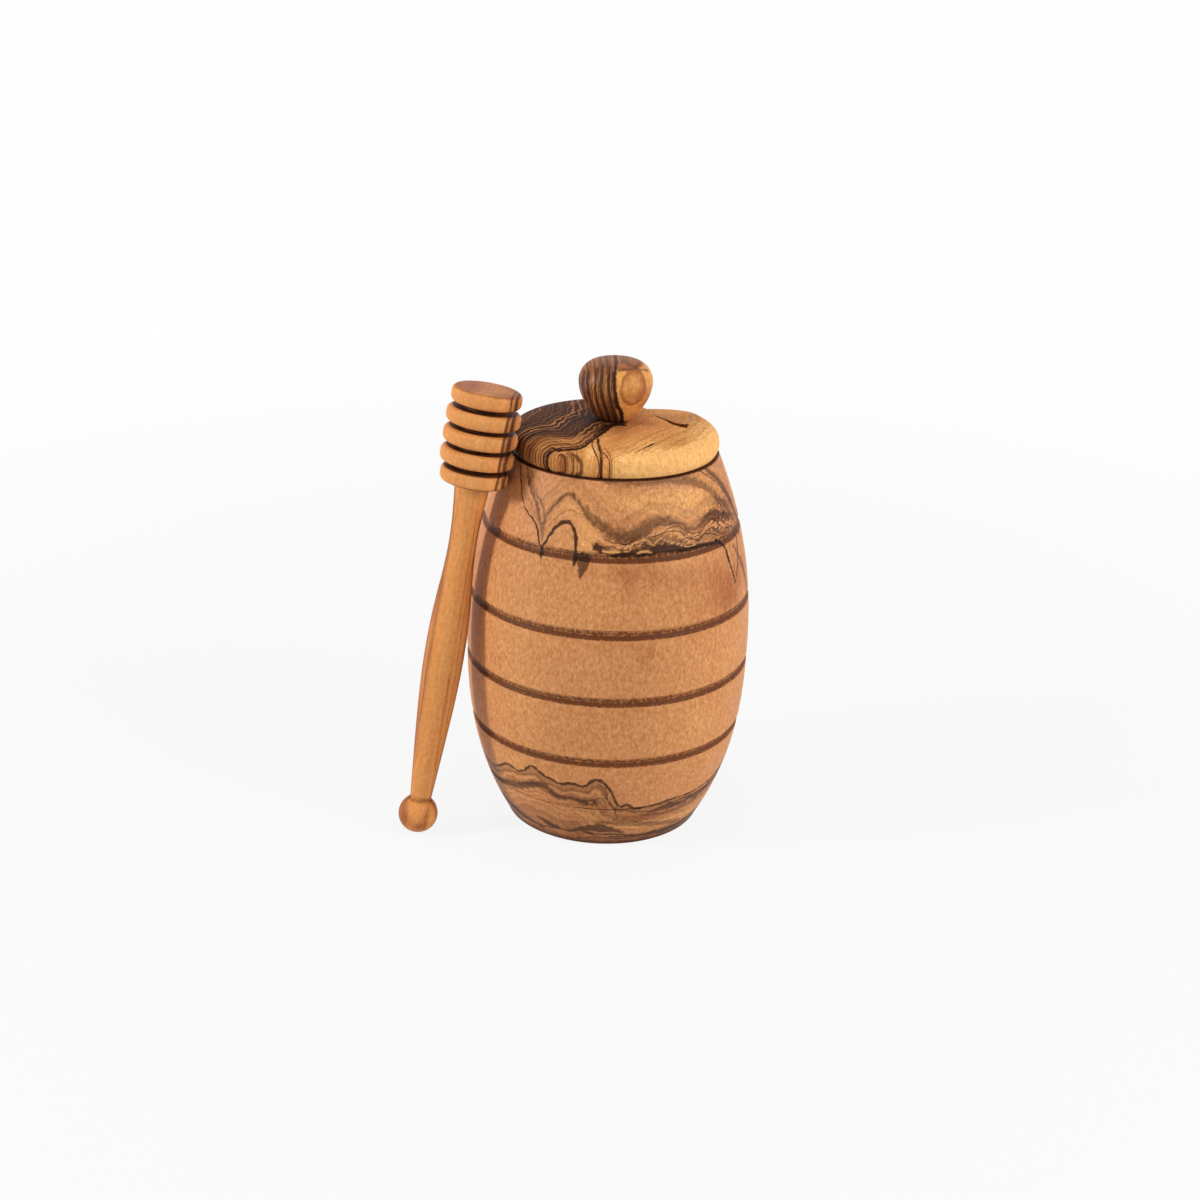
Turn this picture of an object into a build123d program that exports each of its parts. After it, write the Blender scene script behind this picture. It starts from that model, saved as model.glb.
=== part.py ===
"""Honey pot turned from olive wood: a barrel-shaped pot, a lid with its knob, and a dipper.

The pot stands on its base at the origin, with its axis along +Z. The lid rests on the
pot's rim and is located by a spigot in the mouth. The knob's tenon is glued into the lid.
The dipper stands on its ball beside the pot, with its head leaning on the pot's shoulder.
All sizes are in millimetres.
"""
import os
from math import cos, degrees, radians, sin, sqrt, tan

from build123d import *

os.makedirs("parts", exist_ok=True)

# Pot
base_radius = 27.5
belly_radius = 40.0
belly_height = 56.0
rim_radius = 29.0
pot_height = 108.6
lower_swell = 2.65
upper_swell = 2.05
foot_round = 0.9
rim_round = 0.6
mouth_radius = 23.6
mouth_chamfer = 0.6
floor_thickness = 11.0
floor_corner = 9.0

# Turned decoration of the pot
groove_heights = (29.3, 48.1, 67.35, 87.85)
groove_width = 2.9
groove_depth = 0.8
groove_deepest = 0.4
scribed_height = 14.3
scribed_width = 0.5
scribed_depth = 0.25
scribed_deepest = 0.5

# Lid
lid_radius = 29.0
lid_edge_radius = 28.4
lid_widest_above_rim = 2.4
lid_height = 8.5
lid_edge_round = 0.5
dome_flatness = 4
dome_fullness = 3
spigot_clearance = 0.4
spigot_taper = 0.8
spigot_depth = 5.0
spigot_round = 0.8

# Slot in the lid for the dipper's handle: a notch open at the back, with a narrow curved tail
# that runs forward from it beside the knob. The tail is drawn by pairs of places on its near
# and far sides, from its tip to the notch. Behind it a gently slanting flat cuts off the dome
slot_sides = (
    ((19.6, -5.4), (20.6, -1.6)),
    ((16.7, -4.2), (17.9, 0.4)),
    ((13.6, 0.2), (16.0, 4.2)),
    ((10.6, 4.8), (14.0, 9.4)),
    ((8.3, 11.5), (12.2, 14.0)),
    ((4.5, 13.9), (8.8, 21.0)),
)
notch_left = -2.0
notch_end = 14.2
flat_depth = 2.9
flat_slope = 8.7
flat_facing = -46.0

# Knob
knob_foot_radius = 4.5
knob_foot_slope = 0.9
knob_radius = 10.15
knob_height = 16.8
knob_widest_height = 10.7
knob_waist_radius = 7.5
knob_waist_height = 3.4
knob_shoulder_radius = 8.4
knob_shoulder_height = 14.8
knob_seat_margin = 0.7
tenon_radius = 3.5
tenon_length = 6.0
tenon_clearance = 0.05
tenon_end_gap = 0.6

# Dipper
dipper_length = 130.0
ball_radius = 5.55
neck_radius = 2.97
handle_stations = ((27.2, 4.25), (51.0, 5.5), (70.0, 4.9), (79.4, 4.1), (90.0, 3.83))
handle_top_radius = 4.9
head_ring_radii = (9.2, 10.0, 10.05, 10.05, 9.5)
ring_thickness = 4.25
ring_gap = 1.2
ring_round = 1.5
head_core_radius = 6.2

# Where the dipper stands
dipper_stand_off = 16.9
dipper_bearing = 203.6
dipper_lean_gap = 0.25

# How finely curves are drawn and the lean is worked out
curve_points = 5
dome_points = 7
slope_step = 0.01
steepest_lean = 45.0
halvings = 50

# Distance of a quarter arc's middle point from its corner's two sides, as a share of its radius
arc_inset = 1 - sqrt(0.5)

# Places that follow from the sizes above
lid_widest_height = pot_height + lid_widest_above_rim
lid_top = pot_height + lid_height
spigot_radius = mouth_radius - spigot_clearance
head_length = len(head_ring_radii) * (ring_thickness + ring_gap) - ring_gap
head_bottom = dipper_length - head_length


def pot_radius(height):
    """Radius of the pot's outside: a power curve above the belly and another below it."""
    if height < belly_height:
        share = (belly_height - height) / belly_height
        return base_radius + (belly_radius - base_radius) * (1 - share**lower_swell)
    share = (height - belly_height) / (pot_height - belly_height)
    return rim_radius + (belly_radius - rim_radius) * (1 - share**upper_swell)


def lid_dome_height(radius):
    """Height of the lid's top: nearly flat in the middle and round at the edge."""
    dome = lid_top - lid_widest_height
    hollow = (radius / lid_radius) ** dome_flatness
    return lid_widest_height + dome * (1 - hollow) ** (1 / dome_fullness)


def lid_dome_radius(height):
    """Radius of the lid's top at a height, the inverse of lid_dome_height."""
    dome = lid_top - lid_widest_height
    share = min(max(0.0, (height - lid_widest_height) / dome), 1.0)
    return lid_radius * (1 - share**dome_fullness) ** (1 / dome_flatness)


def turned(face):
    """Solid of revolution about +Z of a face drawn as radius and height."""
    return revolve(Plane.XZ * face, axis=Axis.Z)


def pot_curve(low, high):
    """Smooth stretch of the pot's outline between two heights."""
    heights = [low + (high - low) * i / (curve_points - 1) for i in range(curve_points)]
    ends = []
    for height in (low, high):
        change = pot_radius(height + slope_step) - pot_radius(height - slope_step)
        ends.append((change, 2 * slope_step))
    return Spline([(pot_radius(h), h) for h in heights], tangents=ends)


def cut_line(low, width, depth, deepest):
    """Turned cut in the pot's side: an arc through its two edges and its deepest point."""
    middle = low + width * deepest
    return ThreePointArc(
        (pot_radius(low), low),
        (pot_radius(middle) - depth, middle),
        (pot_radius(low + width), low + width),
    )


def make_pot():
    """Pot with its grooves, one scribed line near the foot and a bored cavity."""
    cuts = [(scribed_height, scribed_width, scribed_depth, scribed_deepest)]
    cuts += [(height, groove_width, groove_depth, groove_deepest) for height in groove_heights]
    foot = (pot_radius(foot_round), foot_round)
    outline = [
        Line((0, 0), (foot[0] - foot_round, 0)),
        ThreePointArc(
            (foot[0] - foot_round, 0),
            (foot[0] - foot_round * arc_inset, foot_round * arc_inset),
            foot,
        ),
    ]
    reached = foot_round
    for low, width, depth, deepest in cuts:
        outline.append(pot_curve(reached, low))
        outline.append(cut_line(low, width, depth, deepest))
        reached = low + width
    shoulder = pot_height - rim_round
    outline.append(pot_curve(reached, shoulder))
    rim_edge = pot_radius(shoulder)
    outline += [
        ThreePointArc(
            (rim_edge, shoulder),
            (rim_edge - rim_round * arc_inset, pot_height - rim_round * arc_inset),
            (rim_edge - rim_round, pot_height),
        ),
        Polyline(
            (rim_edge - rim_round, pot_height),
            (mouth_radius + mouth_chamfer, pot_height),
            (mouth_radius, pot_height - mouth_chamfer),
            (mouth_radius, floor_thickness + floor_corner),
        ),
        ThreePointArc(
            (mouth_radius, floor_thickness + floor_corner),
            (
                mouth_radius - floor_corner * arc_inset,
                floor_thickness + floor_corner * arc_inset,
            ),
            (mouth_radius - floor_corner, floor_thickness),
        ),
        Polyline((mouth_radius - floor_corner, floor_thickness), (0, floor_thickness), (0, 0)),
    ]
    return turned(make_face(outline))


def upright(outline):
    """Prism of an outline, seen from above, that reaches clear of the lid above and below."""
    bottom = pot_height - 2 * spigot_depth
    return extrude(Plane.XY.offset(bottom) * make_face(outline), lid_top - bottom + spigot_depth)


def make_slot():
    """Space cut from the lid for the dipper's handle: the notch and its tail, right through it,
    and what lies above the slanting flat behind the tail. It reaches clear of the lid.
    """
    near_side = [near for near, far in slot_sides]
    far_side = [far for near, far in slot_sides]
    middle = [((x + u) / 2, (y + v) / 2) for (x, y), (u, v) in slot_sides]
    clear = 2 * lid_radius
    notch_right = far_side[-1][0]
    tail_and_notch = [
        Spline(near_side + [(notch_left, notch_end)]),
        Polyline(
            (notch_left, notch_end), (notch_left, clear), (notch_right, clear), far_side[-1]
        ),
        Spline(far_side[::-1]),
        Line(far_side[0], near_side[0]),
    ]
    behind = middle + [(middle[-1][0], clear), (clear, clear), (clear, middle[0][1])]
    level = lid_top - flat_depth
    rise = clear * tan(radians(flat_slope))
    above_flat = Polyline(
        (-clear, level - rise), (clear, level + rise), (clear, level + clear),
        (-clear, level + clear), close=True,
    )
    above_flat = Rot(0, 0, flat_facing) * extrude(Plane.XZ * make_face(above_flat), clear, both=True)
    return upright(tail_and_notch) + (upright(Polyline(behind, close=True)) & above_flat)


def make_lid():
    """Lid with a low dome, a tapered spigot below, a blind hole for the knob and the slot."""
    seat = knob_foot_radius + knob_seat_margin
    hole_radius = tenon_radius + tenon_clearance
    hole_bottom = lid_top - tenon_length - tenon_end_gap
    spigot_bottom = pot_height - spigot_depth
    tip_radius = spigot_radius - spigot_taper
    dome = [(seat, lid_top)]
    for i in range(1, dome_points):
        radius = lid_radius * sin(radians(90 * i / dome_points))
        dome.append((radius, lid_dome_height(radius)))
    dome.append((lid_radius, lid_widest_height))
    outline = [
        Polyline((hole_radius, lid_top), (seat, lid_top)),
        Spline(dome, tangents=[(1, 0), (0, -1)]),
        Spline(
            (lid_radius, lid_widest_height),
            (lid_edge_radius, pot_height + lid_edge_round),
            (lid_edge_radius - lid_edge_round, pot_height),
            tangents=[(0, -1), (-1, 0)],
        ),
        Polyline(
            (lid_edge_radius - lid_edge_round, pot_height),
            (spigot_radius, pot_height),
            (tip_radius, spigot_bottom + spigot_round),
            (tip_radius - spigot_round, spigot_bottom),
            (0, spigot_bottom),
            (0, hole_bottom),
            (hole_radius, hole_bottom),
            (hole_radius, lid_top),
        ),
    ]
    return turned(make_face(outline)) - make_slot()


def make_knob():
    """Knob like a flattened ball on a waist, with a tenon under it."""
    tenon_bottom = lid_top - tenon_length
    outline = [
        Polyline(
            (0, tenon_bottom),
            (tenon_radius, tenon_bottom),
            (tenon_radius, lid_top),
            (knob_foot_radius, lid_top),
        ),
        Spline(
            (knob_foot_radius, lid_top),
            (knob_waist_radius, lid_top + knob_waist_height),
            (knob_radius, lid_top + knob_widest_height),
            tangents=[(1, knob_foot_slope), (0, 1)],
        ),
        Spline(
            (knob_radius, lid_top + knob_widest_height),
            (knob_shoulder_radius, lid_top + knob_shoulder_height),
            (0, lid_top + knob_height),
            tangents=[(0, 1), (-1, 0)],
        ),
        Line((0, lid_top + knob_height), (0, tenon_bottom)),
    ]
    return turned(make_face(outline))


def ring_outline(radius, low):
    """Outline of one ring of the dipper's head, from its lower inner corner upwards."""
    high = low + ring_thickness
    bend = ring_round * arc_inset
    return [
        Line((head_core_radius, low), (radius - ring_round, low)),
        ThreePointArc(
            (radius - ring_round, low), (radius - bend, low + bend), (radius, low + ring_round)
        ),
        Line((radius, low + ring_round), (radius, high - ring_round)),
        ThreePointArc(
            (radius, high - ring_round), (radius - bend, high - bend), (radius - ring_round, high)
        ),
    ]


def make_upright_dipper():
    """Dipper standing on its ball: ball, swelling handle and a head of rings."""
    neck_height = ball_radius + sqrt(ball_radius**2 - neck_radius**2)
    outline = [
        ThreePointArc((0, 0), (ball_radius, ball_radius), (neck_radius, neck_height)),
        Spline(
            [(neck_radius, neck_height)]
            + [(radius, along) for along, radius in handle_stations]
            + [(handle_top_radius, head_bottom)],
        ),
        Line((handle_top_radius, head_bottom), (head_core_radius, head_bottom)),
    ]
    low = head_bottom
    for radius in head_ring_radii:
        outline += ring_outline(radius, low)
        high = low + ring_thickness
        if high < dipper_length - ring_gap:
            outline.append(
                Polyline(
                    (radius - ring_round, high), (head_core_radius, high),
                    (head_core_radius, high + ring_gap),
                )
            )
        low = high + ring_gap
    top = (head_ring_radii[-1] - ring_round, dipper_length)
    outline.append(Polyline(top, (0, dipper_length), (0, 0)))
    return turned(make_face(outline))


def dipper_side():
    """Points of the dipper's side, as distance along its axis from the ball and radius."""
    points = list(handle_stations)
    bend = ring_round * arc_inset
    low = head_bottom
    for radius in head_ring_radii:
        high = low + ring_thickness
        points += [(low, radius - ring_round), (low + bend, radius - bend)]
        points += [(low + ring_round, radius), (high - ring_round, radius)]
        points += [(high - bend, radius - bend), (high, radius - ring_round)]
        low = high + ring_gap
    return points


def outer_radius(height):
    """Radius of the closed pot at a height, lid included."""
    if height < pot_height:
        return pot_radius(height)
    return lid_dome_radius(height) if height < lid_top else 0.0


def gap_to_pot(lean):
    """Least gap between the dipper leaning by this angle and the pot, in their common plane."""
    stand = belly_radius + dipper_stand_off
    gaps = []
    for along, radius in dipper_side():
        reach = along - ball_radius
        out = stand - reach * sin(lean) - radius * cos(lean)
        height = ball_radius + reach * cos(lean) - radius * sin(lean)
        gaps.append(out - outer_radius(height))
    return min(gaps)


def find_lean():
    """Angle at which the dipper's head all but touches the pot, by halving an interval."""
    upright = 0.0
    fallen = radians(steepest_lean)
    for _ in range(halvings):
        middle = (upright + fallen) / 2
        if gap_to_pot(middle) > dipper_lean_gap:
            upright = middle
        else:
            fallen = middle
    return upright


def make_dipper():
    """Dipper turned to its lean about its ball and stood beside the pot."""
    lean = degrees(find_lean())
    stand = belly_radius + dipper_stand_off
    tilted = Pos(0, 0, ball_radius) * Rot(0, -lean, 0) * Pos(0, 0, -ball_radius)
    placed = Rot(0, 0, dipper_bearing) * Pos(stand, 0, 0) * tilted
    print(f"dipper leans {lean:.2f} degrees")
    return placed * make_upright_dipper()


parts = {
    "pot_body": make_pot(),
    "lid": make_lid(),
    "knob": make_knob(),
    "dipper": make_dipper(),
}
for name, solid in parts.items():
    export_step(solid, f"parts/{name}.step")
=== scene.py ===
"""Looks of a honey pot turned from olive wood: the pot, its lid and knob, and the dipper.

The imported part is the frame. Each piece here is a surface of revolution that stands for one of
its nodes, and carries the wood's figure as named fields on its vertices. Lengths are in metres,
but the figure's lines and fields are in millimetres, the scale at which grain is drawn. Angles
round the pot are in degrees from the front, -Y, and grow towards +X.
"""
import math
from collections import namedtuple

import bpy
import numpy as np
from bpy.props import FloatProperty, FloatVectorProperty, PointerProperty
from mathutils import Matrix, Vector


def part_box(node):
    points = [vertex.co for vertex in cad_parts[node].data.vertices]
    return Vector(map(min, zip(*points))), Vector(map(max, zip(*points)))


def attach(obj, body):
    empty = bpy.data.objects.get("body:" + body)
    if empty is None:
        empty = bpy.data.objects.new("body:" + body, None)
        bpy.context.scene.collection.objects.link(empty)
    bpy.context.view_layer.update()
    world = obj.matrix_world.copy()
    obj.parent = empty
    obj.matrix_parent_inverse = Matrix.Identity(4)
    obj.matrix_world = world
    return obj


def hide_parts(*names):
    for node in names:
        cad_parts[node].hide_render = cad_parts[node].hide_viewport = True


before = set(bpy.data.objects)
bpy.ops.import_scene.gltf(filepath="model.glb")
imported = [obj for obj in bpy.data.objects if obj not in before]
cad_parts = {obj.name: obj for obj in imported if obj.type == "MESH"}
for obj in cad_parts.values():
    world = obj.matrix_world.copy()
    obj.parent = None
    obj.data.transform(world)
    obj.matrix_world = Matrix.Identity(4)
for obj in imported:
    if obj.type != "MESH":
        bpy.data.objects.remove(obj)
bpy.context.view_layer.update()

bl_info = {
    "name": "Olive Wood Honey Pot",
    "version": (1, 0, 0),
    "blender": (4, 5, 0),
    "location": "3D View > Sidebar > Honey Pot",
    "description": "A turned honey pot with a slotted lid, a knob and a dipper",
    "category": "Add Mesh",
}

MM = 0.001
SHARP_EDGE = math.radians(32)
QUARTER_TURN = math.pi / 2
HALF_TURN = math.pi
# In degrees
WHOLE_TURN = 360

# Curved line of the wood's figure. widths are half its width at its start, middle and end.
# softness is how far its edge fades, and ink how dark it is. All lengths are in millimetres.
Line = namedtuple("Line", "widths softness ink path")
# Lines at least this wide, in millimetres of half width, are drawn as bands. The others are fine
# lines, dealt into sets.
BROAD = 0.42
LINE_SETS = (1, 2, 3)
# Soft patch of tone: its middle, its reach both ways and its strength.
Patch = namedtuple("Patch", "middle reach amount")

# Figure of the pot: places are degrees from the front and millimetres above the base.
POT_GRAIN_RADIUS = 34.0
FOOT_EDGE = (
    (-72, 20), (-59, 19.4), (-52, 21.4), (-44, 23.3), (-41, 22.7), (-35, 24.4), (-31, 26.2),
    (-27, 24.6), (-21, 23), (-18, 22.4), (-14, 23.2), (-8, 22.6), (-5, 24.4), (-2, 25.2),
    (1, 23.9), (3, 21.9), (5, 19.2), (7, 16.4), (9, 15.7), (11, 16.3), (14, 15.1),
    (19, 14.7), (25, 15), (33, 15.7), (41, 15.8), (48, 15.7), (54, 16.4), (60, 16.6), (70, 19))
FOOT_EDGE_BACK = (
    (70, 19), (82, 21.4), (92, 20.4), (103, 23.4), (115, 21.6), (128, 18.4), (140, 19.6),
    (152, 23), (164, 26.4), (176, 24), (188, 20.6), (200, 21.6), (213, 25), (226, 23.4),
    (240, 19.4), (254, 18), (266, 20.4), (278, 22.6), (288, 20))
POT_LINES = (
    Line((0.2, 0.2, 0.25), 0.15, 0.95, (
        (-60, 109), (-52, 104), (-46, 99.4), (-41, 97.2), (-36, 95.4), (-33, 92), (-30, 86.5))),
    Line((0.3, 0.3, 0.2), 0.4, 0.5, (
        (-53, 109), (-45, 104.8), (-39, 102.3), (-35, 100.8), (-32, 97), (-31, 91))),
    Line((0.3, 0.45, 0.6), 0.5, 0.68, (
        (-32, 93), (-31, 98.4), (-28, 101), (-22, 104.4), (-16, 102.6), (-8, 98), (-4, 96.6))),
    Line((0.15, 0.2, 0.1), 0.25, 0.4, ((-31, 94), (-27, 97.5), (-20, 100.4), (-12, 99.4))),
    Line((0.35, 0.5, 0.5), 0.2, 0.95, (
        (-31, 89.5), (-28, 93.1), (-23, 97.1), (-20, 97.6), (-16, 95.2), (-15, 92), (-15, 87))),
    Line((1.7, 1.2, 0.15), 0.35, 0.8, ((-11.0, 88.6), (-11.4, 86.4), (-12.2, 83.6))),
    Line((0.3, 0.3, 0.2), 0.3, 0.8, ((-30.4, 89), (-30, 87.4), (-29.9, 86.4))),
    Line((0.5, 2.1, 0.5), 1.7, 0.68, (
        (-13, 101), (-9, 99.6), (-4, 97.4), (1, 95.8), (7, 95.1), (13, 95.6), (18, 97.2),
        (24, 98.2), (31, 97.2), (36, 95.8))),
    Line((0.3, 0.8, 0.3), 0.7, 0.6, ((34, 96), (42, 95), (50, 97), (57, 97.4), (63, 95))),
    Line((1.0, 1.3, 0.4), 0.5, 0.95, (
        (-6, 92.2), (1, 90.6), (9, 90.6), (17, 90.9), (26, 91.2), (35, 90.4), (45, 90), (56, 89))),
    Line((0.15, 0.15, 0.15), 0.12, 0.85, (
        (-3, 94), (3, 93.2), (7, 93), (12, 94.8), (16, 95), (21, 97.6), (26, 97.1), (30, 97.4),
        (35, 96.4), (37, 94.6), (42, 93.7), (47, 94.8), (49, 96), (54, 95.6), (61, 92.2),
        (67, 91.6), (74, 89.5))),
    Line((0.14, 0.14, 0.14), 0.12, 0.8, (
        (18, 94.4), (22, 95), (27, 95.4), (33, 94.8), (36, 93), (41, 92.2), (47, 92.8), (56, 91))),
    Line((0.3, 1.2, 0.8), 1.1, 0.6, (
        (-6, 108.6), (6, 107.9), (14, 107.8), (25, 108), (37, 107.6), (48, 106), (58, 102.8),
        (66, 98.4), (73, 93), (78, 88))),
    Line((0.16, 0.2, 0.16), 0.15, 0.85, ((50, 109.2), (60, 106), (70, 101), (78, 95), (82, 90))),
    Line((0.5, 1.2, 1.1), 0.8, 0.8, ((56, 109.4), (66, 105), (74, 99.4), (81, 91))),
    Line((0.5, 0.9, 0.5), 0.6, 0.7, ((66, 87), (72, 82), (77, 76), (80, 70))),
    Line((0.14, 0.2, 0.16), 0.15, 0.7, (
        (43, 106.3), (53, 103.7), (61, 99.6), (67, 94.6), (73, 90))),
    Line((0.5, 0.5, 0.3), 0.2, 1.0, ((54, 90), (58, 88.4), (60, 85), (62, 81), (64, 76.6))),
    Line((0.3, 0.3, 0.2), 0.15, 0.9, ((74, 90), (71, 84), (68, 80), (64, 76.6))),
    Line((0.12, 0.12, 0.08), 0.12, 0.7, ((62, 90), (64, 85), (65, 80))),
    Line((0.15, 0.15, 0.15), 0.15, 0.6, ((52, 98), (57, 98.4), (62, 97.4), (64, 95.4), (60, 94.4))),
    Line((0.16, 0.2, 0.16), 0.15, 0.8, (
        (-2.4, 92), (0.9, 92.4), (4.1, 91.5), (8.4, 91.8), (12.9, 93), (17.3, 92.3), (23.3, 93.5),
        (29.1, 91.8), (35.9, 93.1), (41.3, 91.8), (50.4, 93.9), (56.9, 91.6), (66.9, 91.2))),
    Line((0.14, 0.16, 0.14), 0.15, 0.75, (
        (22.3, 94.8), (26.2, 96.1), (31.4, 96.4), (35.1, 95.1), (37.4, 93.2), (43.4, 93.5),
        (49.3, 95.4), (55.5, 95.8), (63, 93.3), (70.4, 91.2))),
    Line((0.3, 0.5, 0.3), 0.35, 0.7, (
        (-50, 107), (-44, 103.4), (-38.5, 100.6), (-34.5, 97), (-31.6, 93.4))),
    # Round the back, under the lid
    Line((0.5, 1.2, 0.5), 0.7, 0.7, (
        (84, 91), (96, 95), (108, 100), (120, 101.4), (132, 98), (144, 93), (156, 96))),
    Line((0.2, 0.25, 0.2), 0.15, 0.9, (
        (84, 88.6), (98, 91.6), (109, 96.6), (121, 98), (131, 94.6), (143, 89.6), (158, 93),
        (170, 99), (182, 102.4), (196, 100), (208, 94.5), (220, 92), (234, 96), (248, 101),
        (262, 103), (276, 105.5), (290, 108.6))),
    Line((0.4, 1.0, 0.4), 0.8, 0.6, (
        (160, 100), (172, 104.6), (186, 106), (200, 104), (214, 98), (226, 97), (240, 102))),
    # Foot, from its left at the front to its right
    Line((0.4, 0.46, 0.36), 0.24, 0.9, FOOT_EDGE),
    Line((0.12, 0.16, 0.12), 0.2, 0.75, (
        (-2, 23.9), (1, 22.2), (2, 19.6), (4, 16.6), (6, 15.4))),
    Line((0.9, 1.2, 0.5), 0.8, 0.78, (
        (-70, 14.4), (-59, 14.8), (-48, 16), (-38, 18.2), (-30, 20.3), (-25, 20.1), (-21, 17.8),
        (-13, 17.8), (-8, 16.5), (-3, 16.4))),
    Line((0.15, 0.2, 0.15), 0.15, 0.8, ((-4, 16.2), (-3, 17.8), (-1, 18.8), (1, 17.9), (2, 16.5))),
    Line((0.3, 1.2, 0.3), 0.3, 0.85, ((-35, 7.4), (-29, 5.7), (-22, 4.8))),
    Line((0.4, 1.7, 0.3), 0.35, 0.78, ((-14, 5.8), (-5, 7), (2, 6.9), (12, 5.2))),
    Line((0.5, 1.4, 0.6), 0.5, 0.8, ((-70, 8), (-56, 5.8), (-44, 4.2), (-34, 3.4))),
    Line((0.3, 1.3, 0.4), 0.4, 0.7, ((22, 12.3), (33, 13.2), (45, 12.6))),
    Line((0.5, 1.2, 1.0), 0.6, 0.75, ((44, 14), (54, 13.6), (66, 15.4), (76, 18))),
    Line((0.6, 1.1, 0.8), 0.6, 0.5, ((-2, 9.6), (12, 9.0), (28, 7.2), (46, 5.2))),
    Line((0.4, 1.1, 1.1), 0.6, 0.88, ((4, 3.4), (22, 3.1), (42, 3), (62, 3.8), (78, 5.6))),
    Line((0.2, 0.3, 0.2), 0.2, 0.85, (
        (-40, 3.6), (-30, 4), (-23, 4.5), (-16, 4.6), (-12, 5.6), (-9, 5.1), (0, 4.5), (9, 4.4),
        (20, 3.3), (31, 2.6), (41, 2.2), (56, 2), (72, 3))),
    Line((0.15, 0.15, 0.15), 0.15, 0.75, ((-14, 1.6), (-4, 2.8), (6, 2.6), (20, 2), (30, 1.4))),
    Line((0.12, 0.14, 0.12), 0.12, 0.7, (
        (14, 13.6), (20, 11.8), (26, 11.4), (31, 10.8), (37, 10.9), (43, 11.3), (50, 12.6))),
    Line((0.12, 0.14, 0.12), 0.12, 0.6, ((16, 11), (23, 9.7), (31, 9), (38, 9.4), (47, 8.6))),
    Line((0.3, 0.5, 0.3), 0.3, 0.8, ((48, 14.2), (52, 12.4), (55, 13.4), (59, 14.6))),
    Line((0.3, 0.2, 0.1), 0.3, 0.7, ((6, 15), (7, 12.6), (8.5, 10.2))),
    Line((0.3, 0.35, 0.3), 0.2, 0.9, ((-13, 2.2), (-12, 2.4), (-11.4, 2.2))),
    Line((0.3, 0.3, 0.3), 0.2, 0.8, ((-10, 0.9), (-8.6, 0.7), (-7.4, 0.9))),
    # Painted shade: a dark band along the front of the foot's lower edge
    Line((0.9, 1.2, 1.0), 0.9, 0.7, ((-88, 1.6), (-44, 0.8), (0, 0.6), (44, 0.8), (88, 1.6))),
    # Foot, round the back
    Line((0.36, 0.46, 0.4), 0.24, 0.9, FOOT_EDGE_BACK),
    Line((0.3, 0.8, 0.3), 0.5, 0.6, (
        (80, 14), (100, 16), (120, 13), (140, 12), (160, 17), (180, 16), (200, 13), (220, 16))),
    Line((0.3, 1.1, 0.3), 0.3, 0.85, ((96, 6.4), (110, 8), (126, 6))),
    Line((0.3, 1.2, 0.3), 0.3, 0.85, ((170, 8), (186, 9), (204, 6.6))),
    Line((0.3, 0.9, 0.3), 0.3, 0.8, ((232, 10), (246, 11), (262, 8.6))),
)
POT_PALE_LINES = (
    Line((0.12, 0.16, 0.12), 0.1, 0.9, (
        (0, 91.4), (5, 91.3), (8.5, 91.5), (9, 92.6), (12, 93.5), (16, 93.8), (19, 92.6),
        (22, 93.8), (26, 92.9), (31, 92), (35, 90.9), (40, 90.9))),
    Line((0.3, 0.5, 0.2), 0.2, 0.9, ((-3, 91.2), (0, 90.9), (4, 91))),
    Line((0.3, 0.4, 0.2), 0.2, 0.8, ((12, 90.6), (15, 91), (18, 90.5))),
    Line((0.1, 0.14, 0.08), 0.1, 0.9, ((2, 22.3), (3.4, 19), (2.4, 17.4))),
    Line((0.1, 0.14, 0.08), 0.1, 0.9, ((3.4, 20.9), (5, 17.7), (6.4, 15.4))),
)
POT_WARM = (
    Patch((-10, 94), (4.5, 3.6), 1.5),
    Patch((-17, 101), (7, 2.2), 0.8),
    Patch((14, 103), (14, 2.4), 0.9),
    Patch((38, 102.4), (16, 3), 1.2),
    Patch((56, 98.6), (6, 2.4), 0.8),
    Patch((28, 96), (7, 1.2), 0.5),
    Patch((-44, 20.4), (12, 1.7), 0.6),
    Patch((-36, 22.6), (6, 1.6), 0.4),
    Patch((-14, 20.6), (9, 1.3), 0.7),
    Patch((-27, 11), (14, 2), 0.5),
    Patch((-8, 12), (12, 1.6), 0.8),
    Patch((14, 7.6), (18, 1.6), 0.9),
    Patch((46, 7), (20, 2.0), 0.9),
    Patch((62, 11), (10, 2.4), 0.6),
    Patch((-54, 11), (12, 1.6), 0.5),
    Patch((120, 104), (18, 3), 0.9),
    Patch((200, 97), (16, 3), 0.9),
    Patch((-120, 100), (18, 3), 0.8),
    Patch((120, 17), (20, 3), 0.9),
    Patch((-140, 20), (20, 3), 0.9),
    Patch((24, 11.4), (18, 1.0), -0.7),
    # Painted shade: the foot turns russet along its lower edge
    Patch((0, 1), (90, 2.6), -0.2),
    Patch((74, 100), (13, 9), -0.6),
    Patch((30, 58), (18, 8), 0.1),
    Patch((-45, 104), (9, 5), -0.4),
    Patch((-6, 86), (20, 3), -0.25),
    Patch((26, 84), (26, 4.5), -0.38),
    Patch((50, 78), (20, 8), -0.3),
    Patch((66, 77), (20, 8), -0.7),
    Patch((60, 60), (20, 10), 0.3),
    Patch((6, 62), (14, 26), -0.25),
    Patch((-40, 58), (24, 34), 0.25),
    Patch((34, 38), (30, 9), 0.3),
    # Painted shade: a russet strip all the way up the pot's left edge, on the side by the dipper
    Patch((-84, 50), (14, 50), -0.7),
)
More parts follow.
